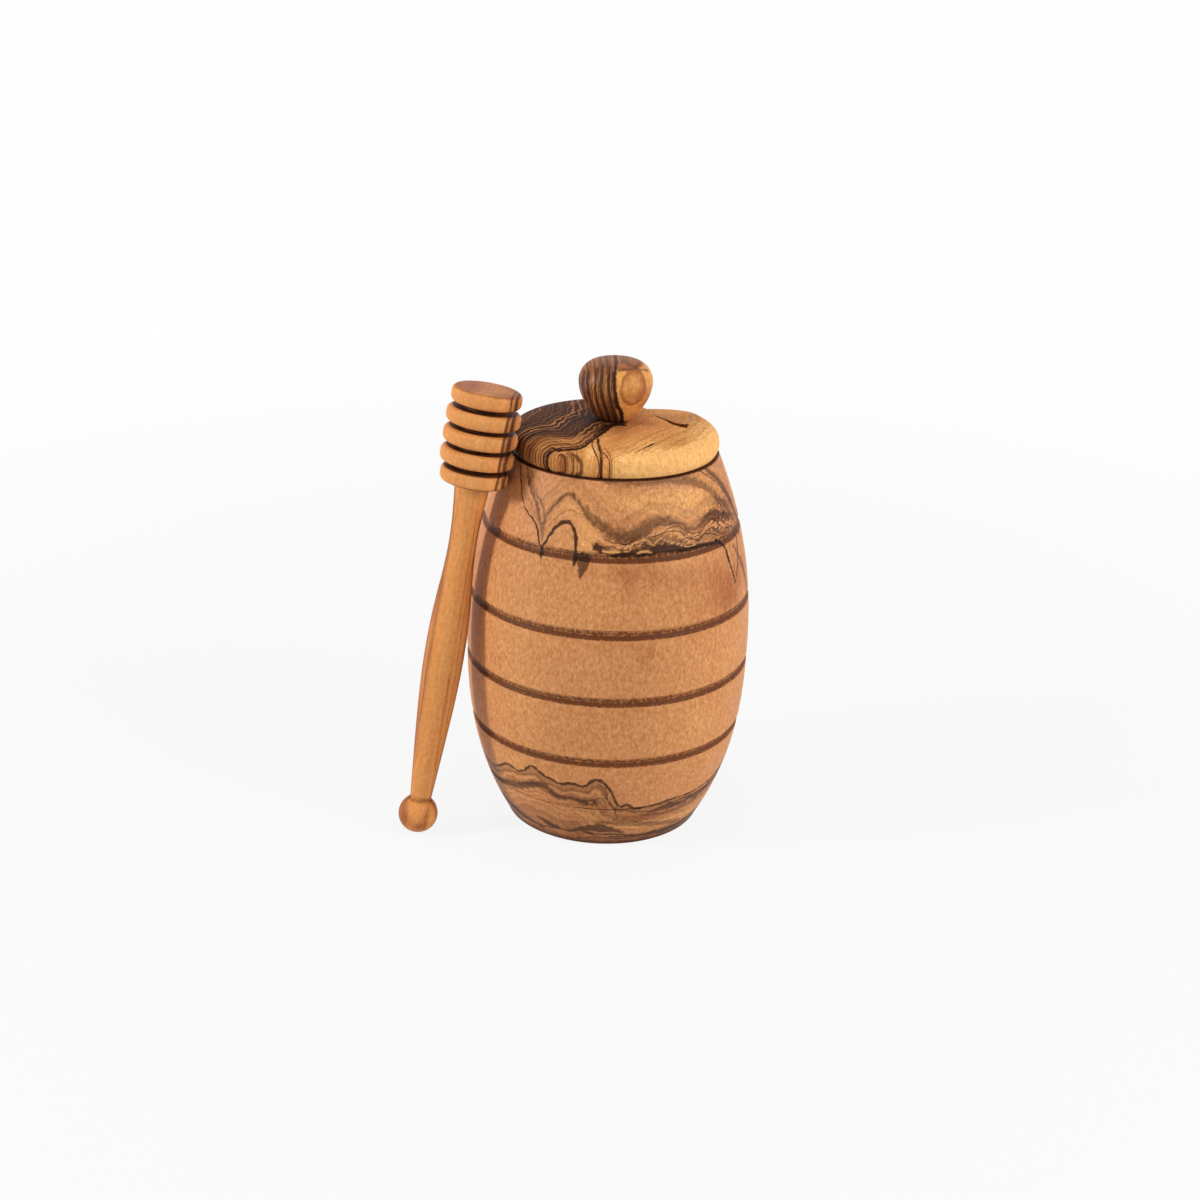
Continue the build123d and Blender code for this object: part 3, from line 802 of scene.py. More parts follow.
def slot_cutter(name, near, far, shares, floor_of):
    """Closed block that cuts the lid. It is ruled by straight lines from places on its near side to
    places on its far side, divided at the shares. Its floor has the height that floor_of gives
    for X and Y, and its top is above the lid."""
    count, steps = len(near), len(shares)
    x, y = (near[:, None] + (far - near)[:, None] * shares[:, None]).transpose(2, 0, 1)
    low = np.stack([x, y, floor_of(x, y)], axis=-1).reshape(-1, 3)
    high = np.stack([x, y, np.full_like(x, SLOT_TOP)], axis=-1).reshape(-1, 3)
    index = np.arange(count * steps).reshape(count, steps)
    cells = np.stack([index[:-1, :-1], index[1:, :-1], index[1:, 1:], index[:-1, 1:]], axis=-1)
    cells = cells.reshape(-1, 4)
    border = np.concatenate([index[:, 0], index[-1, 1:], index[-2::-1, -1], index[0, -2:0:-1]])
    after = np.roll(border, -1)
    walls = np.stack([after, border, border + len(low), after + len(low)], axis=-1)
    faces = np.concatenate([cells, cells[:, ::-1] + len(low), walls])
    return new_object(name, np.concatenate([low, high]), faces.tolist())


def flat_height(lid, x, y):
    """Height of the plane of the slot's flat: the tangent of its slope times the distance along
    its facing, above a level below the lid's top."""
    along = x * math.cos(lid.flat_facing) + y * math.sin(lid.flat_facing)
    return lid.top - lid.flat_depth + math.tan(lid.flat_slope) * along


def cut_slot(piece, lid):
    """Cuts the slot with two blocks: the notch and its tail, right through the lid, and what lies
    above the slanting flat behind the tail."""
    clear = 2 * lid.radius
    near = curve_through([side for side, _ in SLOT_SIDES] + [NOTCH_CORNER], SLOT_POINTS) * MM
    far = curve_through([side for _, side in SLOT_SIDES], SLOT_POINTS) * MM
    middle = (near[:-1] + far[:-1]) / 2
    near = np.concatenate([near, [(near[-1, 0], clear)]])
    far = np.concatenate([far, [(far[-1, 0], clear)]])
    turn = np.linspace(0, QUARTER_TURN, len(middle))
    outside = middle[0] + clear * np.stack([np.cos(turn), np.sin(turn)], 1)
    cutters = (
        slot_cutter(
            "slot_through", near, far, np.array([0, 1]), lambda x, y: np.full_like(x, SLOT_BOTTOM)),
        slot_cutter(
            "slot_above_flat", middle, outside, np.linspace(0, 1, FLAT_STEPS) ** FLAT_CROWDING,
            lambda x, y: flat_height(lid, x, y)))
    for cutter in cutters:
        cut = piece.modifiers.new("Slot", "BOOLEAN")
        cut.operation = "DIFFERENCE"
        cut.solver = "EXACT"
        cut.object = cutter
    settle_modifiers(piece)
    for cutter in cutters:
        bpy.data.objects.remove(cutter)


def settle_modifiers(piece):
    """Gives a piece the mesh that its modifiers make of it, and removes them."""
    bpy.context.view_layer.update()
    graph = bpy.context.evaluated_depsgraph_get()
    settled = bpy.data.meshes.new_from_object(piece.evaluated_get(graph))
    piece.modifiers.clear()
    piece.data = settled


# Knob: its waist and shoulder are a radius and a height above the lid's top
TENON_LENGTH = 6 * MM
KNOB_WAIST = (7.5 * MM, 3.4 * MM)
KNOB_WIDEST_HEIGHT = 10.7 * MM
KNOB_SHOULDER = (8.4 * MM, 14.8 * MM)
KNOB_FOOT_SLOPE = 0.9
KNOB_POINTS = 44


def knob_rows(knob):
    """Outline of the knob from the middle of its tenon's end to the middle of its top."""
    seat = lid_high.z
    tenon = [(knob.tenon_radius * share, seat - TENON_LENGTH) for share in (0, 0.5, 1)]
    tenon += [(knob.tenon_radius, seat)]
    widest = (knob.radius, seat + KNOB_WIDEST_HEIGHT)
    waist = (KNOB_WAIST[0], seat + KNOB_WAIST[1])
    shoulder = (KNOB_SHOULDER[0], seat + KNOB_SHOULDER[1])
    lower = curve_through(
        [(knob.foot_radius, seat), waist, widest], KNOB_POINTS, start=(1, KNOB_FOOT_SLOPE),
        end=(0, 1))
    upper = curve_through(
        [widest, shoulder, (0, knob.top)], KNOB_POINTS, start=(0, 1), end=(-1, 0))
    upper[-1, 0] = 0
    return np.concatenate([tenon, lower, upper[1:]])


# Dipper: places along the handle are its radius and the distance from the ball's end, in
# millimetres
NECK_RADIUS = 2.97 * MM
HANDLE_PLACES = ((4.25, 27.2), (5.5, 51), (4.9, 70), (4.1, 79.4), (3.83, 90))
HANDLE_TOP_RADIUS = 4.9
HANDLE_POINTS = 110
BALL_POINTS = 30
TOP_POINTS = 16
RING_RADII = (9.2 * MM, 10.0 * MM, 10.05 * MM, 10.05 * MM, 9.5 * MM)


def dipper_rows(dipper):
    """Outline of the upright dipper: the ball's arc, the handle's smooth swell, and the rings of
    the head, whose edges are quarter arcs, over their core."""
    ball = dipper.ball_radius
    ball_side = arc((0, ball), ball, 0, HALF_TURN - math.asin(NECK_RADIUS / ball), BALL_POINTS)
    pitch = dipper.ring_thickness + dipper.ring_gap
    head_bottom = dipper.length - len(RING_RADII) * pitch + dipper.ring_gap
    neck = (NECK_RADIUS / MM, ball_side[-1, 1] / MM)
    handle = np.array([neck, *HANDLE_PLACES, (HANDLE_TOP_RADIUS, head_bottom / MM)]) * MM
    outline = [ball_side, curve_through(handle, HANDLE_POINTS)[1:]]
    bend = dipper.ring_round
    core = dipper.core_radius
    for place_in_head, radius in enumerate(RING_RADII):
        low = head_bottom + place_in_head * pitch
        high = low + dipper.ring_thickness
        outline += [
            [(core, low), (core + 1 * MM, low)],
            arc((radius - bend, low + bend), bend, 0, QUARTER_TURN),
            arc((radius - bend, high - bend), bend, QUARTER_TURN, HALF_TURN),
            [(core + 1 * MM, high), (core, high)]]
    top = level(outline[-2][-1, 0], 0, dipper.length, TOP_POINTS)
    return np.concatenate(outline[:-1] + [top[1:]])


def dipper_standing(dipper):
    """Where the dipper stands: tilted about its ball's middle towards the pot."""
    bearing = Matrix.Rotation(dipper.bearing, 4, "Z")
    stand = Matrix.Translation((dipper.stand, 0, dipper.ball_radius))
    lean = Matrix.Rotation(-dipper.lean, 4, "Y")
    return bearing @ stand @ lean @ Matrix.Translation((0, 0, -dipper.ball_radius))


# Fine lines reach this far to each side, and their ink fades away between these distances
LINE_REACH = 3
INK_FULL = 0.48
INK_GONE = 1.28
# Half widths beyond which a fine line's field stays the same
FAR_ACROSS = 9.0


def apart(line, others):
    """Least distance between the points of a line's path and those of the others'."""
    if not others:
        return np.inf
    path = np.asarray(line.path, float)
    rest = np.concatenate([np.asarray(other.path, float) for other in others])
    return np.hypot(*(path[:, None] - rest[None]).transpose(2, 0, 1)).min()


def fine_lines(places, lines):
    """Fields of fine lines, kept as sets so that neighbours don't blur into each other. For each
    set one field is the distance across the nearest line, in half widths and with a sign for
    the side, which stays sharp between vertices. The other is its ink, fading away from it."""
    groups = [[] for _ in LINE_SETS]
    for line in lines:
        max(groups, key=lambda group: min(apart(line, group), LINE_REACH)).append(line)
    fields = {}
    for number_of_set, group in zip(LINE_SETS, groups):
        across = np.full(len(places), FAR_ACROSS)
        ink = np.zeros(len(places))
        nearest = np.full(len(places), np.inf)
        for line in group:
            path = curve_through(line.path, 5 * len(line.path))
            above = places > path.min(axis=0) - LINE_REACH
            below = places < path.max(axis=0) + LINE_REACH
            close = (above & below).all(axis=1)
            distance, share, side = nearest_on_path(places[close], path)
            half = np.interp(share, (0, 0.5, 1), line.widths)
            closer = distance < nearest[close]
            across[close] = np.where(closer, side * distance / half, across[close])
            faded = (INK_GONE - distance) / (INK_GONE - INK_FULL)
            faded = line.ink * np.clip(faded, 0, 1) * (share > 0) * (share < 1)
            ink[close] = np.where(closer, faded, ink[close])
            nearest[close] = np.minimum(distance, nearest[close])
        fields[f"line_{number_of_set}"] = np.clip(across, -FAR_ACROSS, FAR_ACROSS)
        fields[f"line_ink_{number_of_set}"] = ink
    return fields


def figure_fields(places, lines):
    """Fields of a piece's drawn figure: its broad bands and its fine lines."""
    broad = [line for line in lines if max(line.widths) >= BROAD]
    fine = [line for line in lines if max(line.widths) < BROAD]
    band, band_ink = drawn_lines(places, broad)
    return {"band": band, "band_ink": band_ink, **fine_lines(places, fine)}


def unrolled(path, turn=0):
    """A path of degrees round the pot and millimetres up it, turned by some degrees, with both in
    millimetres on the wall unrolled at the grain's radius."""
    scale = (math.radians(POT_GRAIN_RADIUS), 1)
    return tuple(map(tuple, (np.array(path, float) + (turn, 0)) * scale))


def all_round(lines):
    """The pot's lines on the unrolled wall, with those that pass behind it a second time a whole
    turn earlier."""
    here = [line._replace(path=unrolled(line.path)) for line in lines]
    behind = [line for line in lines if max(degrees for degrees, _ in line.path) > WHOLE_TURN / 2]
    return here + [line._replace(path=unrolled(line.path, -WHOLE_TURN)) for line in behind]


# Parts of the pot's wood, in millimetres: the bore, whose figure is plain, and the base and the
# floor, which lie across the grain and have rings about a point beside the axis
BORE_SIDE = 24.5
BORE_END = 10.5
BASE_SIDE = 26.8
BASE_TOP = 0.3
FLOOR_SIDE = 14.7
FLOOR_TOP = 40
RINGS_MIDDLE = (12, -7)
# The pot's upper growth lines lie above the first height, and those of its foot below the second
TOP_GROWTH_FROM = 75
FOOT_GROWTH_TO = 45
# Radius beyond which the rim's top gets painted shade from the lid that sits on it
RIM_SEAM_FROM = 28.3
# Angles over which the painted glints on the wood that turning tore in the grooves start and end
GLINT_START = (-95, -80)
GLINT_END = (-12, 6)


def pot_fields(places, burn):
    """Fields of the pot's wood. growth is the distance into the heartwood, in millimetres, from
    the edges near the rim and near the foot, and heart how far a place belongs to it. On the
    faces that lie across the grain, growth runs round a point beside the axis."""
    x, y, z = (places / MM).T
    out = np.hypot(x, y)
    turn = np.degrees(np.arctan2(x, -y))
    wall = np.stack([turn * math.radians(POT_GRAIN_RADIUS), z], 1)
    fields = figure_fields(wobbled(wall, 0.2, 6.3), all_round(POT_LINES))
    in_bore = (out < BORE_SIDE) & (z > BORE_END)
    fields = {name: np.where(in_bore & ("ink" in name), 0, one) for name, one in fields.items()}
    pale, pale_ink = drawn_lines(wall, all_round(POT_PALE_LINES))
    growth = np.full(len(z), -30.0)
    busy = np.clip(toned(np.stack([turn, z], 1), POT_BUSY), 0, 1)
    bent = wobbled(wall, 0.4, 11.1) + (wobbled(wall, 1.5, 4.3) - wall) * busy[:, None]
    for path, upward, near in (
            (POT_TOP_GROWTH, 1, z > TOP_GROWTH_FROM), (POT_FOOT_GROWTH, -1, z < FOOT_GROWTH_TO)):
        line = np.concatenate([unrolled(path, -WHOLE_TURN)[:-1], unrolled(path)])
        distance, _, side = nearest_on_path(bent[near], line)
        growth[near] = upward * side * distance
    base = (z < BASE_TOP) & (out < BASE_SIDE)
    across = base | ((out < FLOOR_SIDE) & (z < FLOOR_TOP))
    from_middle = np.hypot(x - RINGS_MIDDLE[0], y - RINGS_MIDDLE[1])
    growth = np.where(across, 0.8 * from_middle - 2, growth)
    heart = np.maximum(ease(growth, -0.2, 0.5) * np.where(z > 60, 0.3, 0.68), 2.0 * busy)
    heart = np.where(across, 0.5, heart)
    warm = toned(np.stack([turn, z], 1), POT_WARM)
    warm -= 0.3 * ease(growth, 0, 1) * (z < FLOOR_TOP)
    pale = np.where(pale > -1, pale_ink * ease(pale, -1, 0.6), 0)
    # Painted shade: a near-black line round the rim's edge under the lid, put in with the friction
    # tint of the grooves
    shade_under_lid = 1.7 * bell(z, pot_high.z / MM, 0.2) * (out > RIM_SEAM_FROM)
    burn = np.maximum(burn, shade_under_lid)
    # Painted highlight: the grooves' fibres get pale glints only over the left and the front
    torn = ease(turn, *GLINT_START) * (1 - ease(turn, *GLINT_END))
    return {**fields, "growth": growth, "heart": heart, "warm": warm, "pale": pale, "burn": burn,
            "torn": torn}


# Places of the lid's painted shade, in millimetres: the ring under the knob's flared foot, the
# strip beside the slot that belongs to its walls, and the seam over the pot's rim
KNOB_SHADE_RADIUS = 5.9
KNOB_SHADE_FROM = 115
SLOT_STRIP = 2.6
LID_SEAM_FROM = 26


def lid_painted_shade(x, y, z):
    """Painted shade on the lid, in the field of the turned cuts' friction tint: round the knob's
    foot under its flare, in the slot the more the deeper a place lies under the dome and the flat,
    and in the seam over the pot's rim."""
    lid = settings().lid
    out = np.hypot(x, y)
    shade_under_knob = 0.15 * bell(out, KNOB_SHADE_RADIUS, 0.8) * (z > KNOB_SHADE_FROM)
    path = np.array([np.add(*sides) / 2 for sides in SLOT_SIDES])
    from_slot, _, behind = nearest_on_path(np.stack([x, y], 1), path)
    top = dome_height(lid, out * MM)
    flat_top = flat_height(lid, x * MM, y * MM)
    top = np.where(behind < 0, np.minimum(top, flat_top), top) / MM
    slot_shade = 0.7 * (top - z - 0.1) * (from_slot < SLOT_STRIP)
    seam = 2.0 * bell(z, pot_high.z / MM, 0.28) * (out > LID_SEAM_FROM)
    return np.maximum(np.maximum(shade_under_knob, slot_shade), seam)


def lid_fields(places):
    """Fields of the lid's wood, the same all the way down through it. Left of the boundary growth
    is the distance from it, in the knot the distance from its middle, and elsewhere the distance
    from the pale half's growth line. soot is how black the streaks of the dark half are."""
    x, y, z = (places / MM).T
    flat = np.stack([x, y], 1)
    bent = wobbled(flat, 0.45, 9.3)
    fields = figure_fields(wobbled(flat, 0.2, 5.1), LID_LINES)
    distance, _, side = nearest_on_path(bent, np.array(LID_BOUNDARY))
    from_pale, _, pale_side = nearest_on_path(bent, np.array(LID_PALE_GROWTH))
    from_knot = np.hypot(*(bent - LID_KNOT).T)
    dark_half = ease(-side * distance, -0.3, 0.4)
    knot = ease(-from_knot, -6.4, -4.8) * (1 - dark_half)
    growth = mixed(40 - pale_side * from_pale, 80 + 1.5 * from_knot, knot)
    growth = np.where(side < 0, distance, growth)
    soot = dark_half * ease(distance + 0.45 * (x + y + 26), 2.0, 7.0)
    rust = 1.1 * dark_half * ease(distance - 0.5 * (y + 10), 14, 20)
    # The lid's edge on its right is paler, and golden towards the front: partly the pale wood
    # there, partly painted light where light falls on the front of the edge
    outer = ease(np.hypot(x, y), 24, 28.4) * (1 - dark_half) * (1 - knot) * ease(x, -2, 3)
    heart = np.maximum(np.maximum(dark_half, 0.55 * knot), 0.22) * (1 - 0.8 * outer)
    warm = toned(flat, LID_WARM) - 0.35 * dark_half - rust + 1.2 * outer * ease(-y, -10, 10)
    return {**fields, "growth": growth, "heart": heart, "warm": warm, "soot": soot,
            "burn": lid_painted_shade(x, y, z)}


def knob_fields(places):
    """Fields of the knob's wood, the same all the way through it from front to back. Right of the
    thick stripe growth is the distance from the eye's middle, left of it the distance across."""
    x, y, z = (places / MM).T
    front = np.stack([x + 0.05 * y, z], 1)
    fields = figure_fields(wobbled(front, 0.16, 5.7), KNOB_LINES)
    across, up = wobbled(front, 0.14, 6.4).T
    eye = np.hypot(across - KNOB_EYE[0], (up - KNOB_EYE[1]) * KNOB_EYE_SHAPE)
    above = np.clip(up - KNOB_STRIPE_BEND, 0, None)
    below = np.clip(KNOB_STRIPE_BEND - up, 0, None)
    stripe = across + 0.6 + 0.014 * above**2 - 0.02 * below**2
    left = ease(-stripe, 0.0, 0.7)
    cap = (1 - left) * ease(z - 0.02 * (x - 4) ** 2, *KNOB_CAP)
    iris = ease(-eye, -3.9, -3.3) * (1 - left) * (1 - cap)
    rim = bell(eye, 3.4, 0.5) * iris
    growth = mixed(eye, 12 + np.abs(stripe), left)
    growth = mixed(growth, 30 + 0.8 * across + 1.3 * up, cap)
    growth = mixed(growth, 5.0, ease(-eye, -3.5, -3.2) * iris)
    heart = np.maximum(np.maximum(left, 0.7 * cap), 0.3 * rim)
    warm = toned(front, KNOB_WARM) - 0.75 * left - 0.5 * iris - 0.35 * rim - 0.7 * cap
    # Painted shade round the knob's foot, where it meets the lid under its flare
    burn = 0.6 * bell(z, lid_high.z / MM, 0.6)
    return {**fields, "growth": growth, "heart": heart, "warm": warm, "soot": 0.4 * left,
            "burn": burn}


# Parts of the dipper's wood, in millimetres: the direction of its width in the view, as X and Y,
# where its head starts and ends, and the turned ring on its flat top
VIEW_ACROSS = (-0.916, 0.4)
HEAD_START = 103
HEAD_END = 129.9
TOP_RING_RADIUS = 8.2
BALL_NECK_HEIGHT = 10.6


def dipper_fields(upright):
    """Fields of the dipper's wood, from the places of its upright mesh. growth is the distance to
    the viewer's right of its axis, so its growth lines run along it."""
    x, y, z = (upright / MM).T
    radius = np.hypot(x, y)
    right = VIEW_ACROSS[0] * x + VIEW_ACROSS[1] * y
    toward = VIEW_ACROSS[1] * x - VIEW_ACROSS[0] * y
    plane = np.stack([right + 0.08 * toward, z], 1)
    fields = figure_fields(wobbled(plane, 0.12, 17), DIPPER_LINES)
    growth = wobbled(plane, 0.5, 41)[:, 0] + 0.02 * toward**2
    # Painted shade: the gaps between the head's rings are darkened, more on the viewer's left and
    # near black at their deepest, and so is the crease at the ball's neck. The ring on the flat top
    # is a turned line.
    gap_shade = (1.5 - 0.4 * ease(right, 2, 8)) * ease(-radius, -8.9, -8.2)
    gap_shade *= ease(z, HEAD_START + 0.4, HEAD_START + 1.4)
    gap_shade *= 1 - ease(z, HEAD_END - 0.6, HEAD_END - 0.1)
    top_ring = 0.35 * bell(radius, TOP_RING_RADIUS, 0.18) * (z > HEAD_END)
    burn = gap_shade + top_ring + 0.5 * bell(z, BALL_NECK_HEIGHT, 0.8)
    # Painted shade: the handle turns russet towards its edges as seen in the view, on both sides
    side_shade = ease(np.abs(right) / np.maximum(radius, 0.1), 0.8, 1.0) * (z < HEAD_START)
    flat = ease(z, HEAD_END - 0.7, HEAD_END)
    warm = toned(plane, DIPPER_WARM) - 0.8 * side_shade - 0.9 * flat
    return {**fields, "growth": growth, "heart": 0.25 + 0.6 * flat, "warm": warm, "burn": burn}


def place(tree, kind, inputs=None, **options):
    """Node of a kind with its options. Each of its inputs is linked to a socket or set."""
    node = tree.nodes.new("ShaderNode" + kind)
    for name, value in options.items():
        setattr(node, name, value)
    for key, value in (inputs or {}).items():
        if isinstance(value, bpy.types.NodeSocket):
            tree.links.new(value, node.inputs[key])
        else:
            node.inputs[key].default_value = value
    return node


def calc(tree, operation, *values):
    """Result of a Math node."""
    return place(tree, "Math", dict(enumerate(values)), operation=operation).outputs[0]


def product(tree, *values):
    """Product of the values."""
    result = values[0]
    for value in values[1:]:
        result = calc(tree, "MULTIPLY", result, value)
    return result


def centred(tree, value):
    """Value from 0 to 1 less its middle."""
    return calc(tree, "SUBTRACT", value, 0.5)


def smooth(tree, value, low, high, most=1.0):
    """Smooth step of a value from 0 at low to most at high. low may be the higher one."""
    inputs = {"Value": value, "From Min": low, "From Max": high, "To Max": most}
    node = place(tree, "MapRange", inputs, interpolation_type="SMOOTHSTEP")
    return node.outputs["Result"]


# Places of the Mix node's sockets for colours
MIX_SHARE = 0
MIX_FIRST = 6
MIX_SECOND = 7
MIX_RESULT = 2


def blended(tree, share, first, second, how="MIX"):
    """Colour that goes from the first to the second by the share."""
    inputs = {MIX_SHARE: share, MIX_FIRST: first, MIX_SECOND: second}
    return place(tree, "Mix", inputs, data_type="RGBA", blend_type=how).outputs[MIX_RESULT]


def noise(tree, vector, scale, detail=2.0, roughness=0.5):
    """Noise in space. scale is in waves per metre."""
    inputs = {"Vector": vector, "Scale": scale, "Detail": detail, "Roughness": roughness}
    return place(tree, "TexNoise", inputs).outputs["Fac"]


def noise_along(tree, value, scale, detail=2.0):
    """Noise along one value."""
    inputs = {"W": value, "Scale": scale, "Detail": detail}
    return place(tree, "TexNoise", inputs, noise_dimensions="1D").outputs["Fac"]


def stretched(tree, vector, shares):
    """Vector with each of its coordinates multiplied by its share."""
    return place(tree, "VectorMath", {0: vector, 1: shares}, operation="MULTIPLY").outputs[0]


def place_group(tree, group, inputs):
    """Sockets that a shared group gives from its inputs."""
    return place(tree, "Group", inputs, node_tree=group).outputs


def arrange(tree):
    """Puts each node one column to the right of the last one that it reads."""
    column = {node.name: 0 for node in tree.nodes}
    for _ in tree.nodes:
        for link in tree.links:
            after = column[link.from_node.name] + 1
            column[link.to_node.name] = max(column[link.to_node.name], after)
    filled = {}
    for node in tree.nodes:
        row = filled.get(column[node.name], 0)
        node.location = (220 * column[node.name], -260 * row)
        filled[column[node.name]] = row + 1


SOCKET_KINDS = {1: "NodeSocketFloat", 3: "NodeSocketVector", 4: "NodeSocketColor"}


def shared_group(name, inputs, wire):
    """Node group that all the pieces share. inputs are its inputs' defaults, whose count of
    numbers says whether they are values, vectors or colours. wire places the group's nodes
    between its inputs and its outputs, and gives the outputs' sockets by name."""
    if name in bpy.data.node_groups:
        return bpy.data.node_groups[name]
    group = bpy.data.node_groups.new(name, "ShaderNodeTree")
    for title, default in inputs.items():
        kind = SOCKET_KINDS[np.size(default)]
        socket = group.interface.new_socket(title, in_out="INPUT", socket_type=kind)
        socket.default_value = default
    sockets = wire(group, group.nodes.new("NodeGroupInput").outputs)
    for title, socket in sockets.items():
        kind = SOCKET_KINDS[4 if socket.type == "RGBA" else 1]
        group.interface.new_socket(title, in_out="OUTPUT", socket_type=kind)
    leave = group.nodes.new("NodeGroupOutput").inputs
    for title, socket in sockets.items():
        group.links.new(socket, leave[title])
    arrange(group)
    return group


FIGURE_INPUTS = {
    "Vector": (0, 0, 0), "Band": -4.0, "Band ink": 0.0,
    **{f"Line {number_of_set}": FAR_ACROSS for number_of_set in LINE_SETS},
    **{f"Line ink {number_of_set}": 0.0 for number_of_set in LINE_SETS}}


def draw_figure(group, entry):
    """Turns the fields of a piece's drawn figure into how dark it is. A broad band is dark inside
    its edge, and a fine line within one half width. Noise frays both."""
    frayed = centred(group, noise(group, entry["Vector"], 950, 4, 0.78))
    ragged = calc(group, "MULTIPLY_ADD", frayed, 3.6, entry["Band"])
    dark = product(group, smooth(group, ragged, -0.7, 0.8), entry["Band ink"])
    worn = smooth(group, noise(group, entry["Vector"], 420, 3, 0.6), 0.2, 0.42)
    for number_of_set in LINE_SETS:
        across = calc(group, "ABSOLUTE", entry[f"Line {number_of_set}"])
        across = calc(group, "MULTIPLY_ADD", frayed, 0.9, across)
        ink = entry[f"Line ink {number_of_set}"]
        line = product(group, smooth(group, across, 1.55, 0.55), ink, worn)
        dark = calc(group, "MAXIMUM", dark, line)
    return {"Dark": dark}


RINGS_INPUTS = {"Vector": (0, 0, 0), "Growth": 0.0, "Bend": 1.5, "Spacing": 2.0}


def draw_rings(group, entry):
    """Draws growth rings from a distance across them, in millimetres: soft bands where noise along
    it is high, and sharp lines where it crosses its middle."""
    slow = centred(group, noise(group, entry["Vector"], 70, 2))
    quick = centred(group, noise(group, entry["Vector"], 480, 3, 0.6))
    bent = calc(group, "MULTIPLY_ADD", slow, entry["Bend"], entry["Growth"])
    bent = calc(group, "MULTIPLY_ADD", quick, 0.3, bent)
    rate = calc(group, "DIVIDE", bent, entry["Spacing"])
    across = calc(group, "ABSOLUTE", centred(group, noise_along(group, rate, 1.7, 2)))
    return {
        "Bands": smooth(group, noise_along(group, rate, 1.0, 1.5), 0.47, 0.6),
        "Lines": smooth(group, across, 0.05, 0.012),
        "Soot": smooth(group, noise_along(group, rate, 1.6, 4), 0.42, 0.51),
        "Faint": noise_along(group, rate, 5.0, 3)}


GRAIN_INPUTS = {"Vector": (0, 0, 0), "Along": (1, 1, 0.12)}
# The speckle's flecks are longer than they are wide
FLECK_SHARES = (1.0, 1.0, 0.6)


def draw_grain(group, entry):
    """Close grain of turned and oiled wood: cloudy tone, short streaks along it, dark pores and
    fine speckle."""
    space = entry["Vector"]
    along = stretched(group, space, entry["Along"])
    return {
        "Cloud": noise(group, space, 55, 3, 0.55),
        "Streaks": noise(group, along, 420, 4, 0.6),
        "Pores": smooth(group, noise(group, along, 1500, 2, 0.5), 0.68, 0.8),
        "Speckle": noise(group, stretched(group, space, FLECK_SHARES), 1250, 4, 0.75)}


GREY = (0.5, 0.5, 0.5, 1)
OLIVE_INPUTS = {
    "Warmth": 0.0, "Heart": 0.0, "Bands": 0.0, "Lines": 0.0, "Faint": 0.5, "Dark": 0.0,
    "Soot": 0.0, "Burn": 0.0, "Cloud": 0.5, "Streaks": 0.5, "Pores": 0.0, "Speckle": 0.5,
    "Band strength": 0.8, "Line strength": 0.6, "Ring strength": 0.2, "Speckle strength": 1.0,
    "Plain": GREY, "Golden": GREY, "Russet": GREY, "Brown": GREY, "Dark lines": GREY,
    "Burnt": GREY}
# How far the speckle changes red, green and blue: on the screen each changes by as much
SPECKLE_SHARES = (1.25, 2.0, 3.0)
LEAST_SPECKLE = 0.1


def draw_wood(group, entry):
    """Colour of olive wood. The plain wood turns golden or russet by its warmth and clouds. In the
    heartwood brown bands and dark lines follow the rings. The drawn figure comes next, and a
    turned cut is tinted by its friction over all of them, or charred above 1. Painted shade in
    seams, gaps and recesses comes in the same way, with the same tint and, above 1, the dark
    lines' colour."""
    cloud = centred(group, entry["Cloud"])
    rings = product(group, centred(group, entry["Faint"]), entry["Ring strength"])
    streaks = centred(group, entry["Streaks"])
    warmth = entry["Warmth"]
    for value, strength in ((cloud, 1.4), (rings, 4.0), (streaks, 0.7)):
        warmth = calc(group, "MULTIPLY_ADD", value, strength, warmth)
    tones = (
        (smooth(group, warmth, 0.0, 1.1), "Golden"),
        (smooth(group, warmth, 0.0, -1.1), "Russet"),
        (product(group, entry["Heart"], entry["Bands"], entry["Band strength"]), "Brown"),
        (product(group, entry["Heart"], entry["Lines"], entry["Line strength"]), "Dark lines"),
        (entry["Soot"], "Dark lines"),
        (entry["Dark"], "Dark lines"))
    colour_now = entry["Plain"]
    for share, tone in tones:
        colour_now = blended(group, share, colour_now, entry[tone])
    fine = product(group, centred(group, entry["Speckle"]), entry["Speckle strength"])
    light = calc(group, "MULTIPLY_ADD", entry["Pores"], -0.12, fine)
    steps = [calc(group, "MULTIPLY_ADD", light, share, 1.0) for share in SPECKLE_SHARES]
    steps = [calc(group, "MAXIMUM", step, LEAST_SPECKLE) for step in steps]
    speckle = place(group, "CombineColor", dict(enumerate(steps))).outputs[0]
    colour_now = blended(group, 1.0, colour_now, speckle, "MULTIPLY")
    # Painted shade from seams, gaps and recesses arrives here with the friction tint of the turned
    # cuts, and goes near black from 1.1 up
    burn = calc(group, "MULTIPLY_ADD", fine, 3.2, entry["Burn"])
    burn_and_shade_share = product(
        group, smooth(group, burn, 0.0, 0.8), smooth(group, entry["Burn"], 0.02, 0.2))
    colour_now = blended(group, burn_and_shade_share, colour_now, entry["Burnt"], "MULTIPLY")
    colour_now = blended(group, smooth(group, burn, 1.1, 1.7), colour_now, entry["Dark lines"])
    height = calc(group, "MULTIPLY_ADD", entry["Pores"], -0.6, entry["Speckle"])
    height = calc(group, "MULTIPLY_ADD", entry["Streaks"], 0.8, height)
    return {"Color": colour_now, "Height": height}


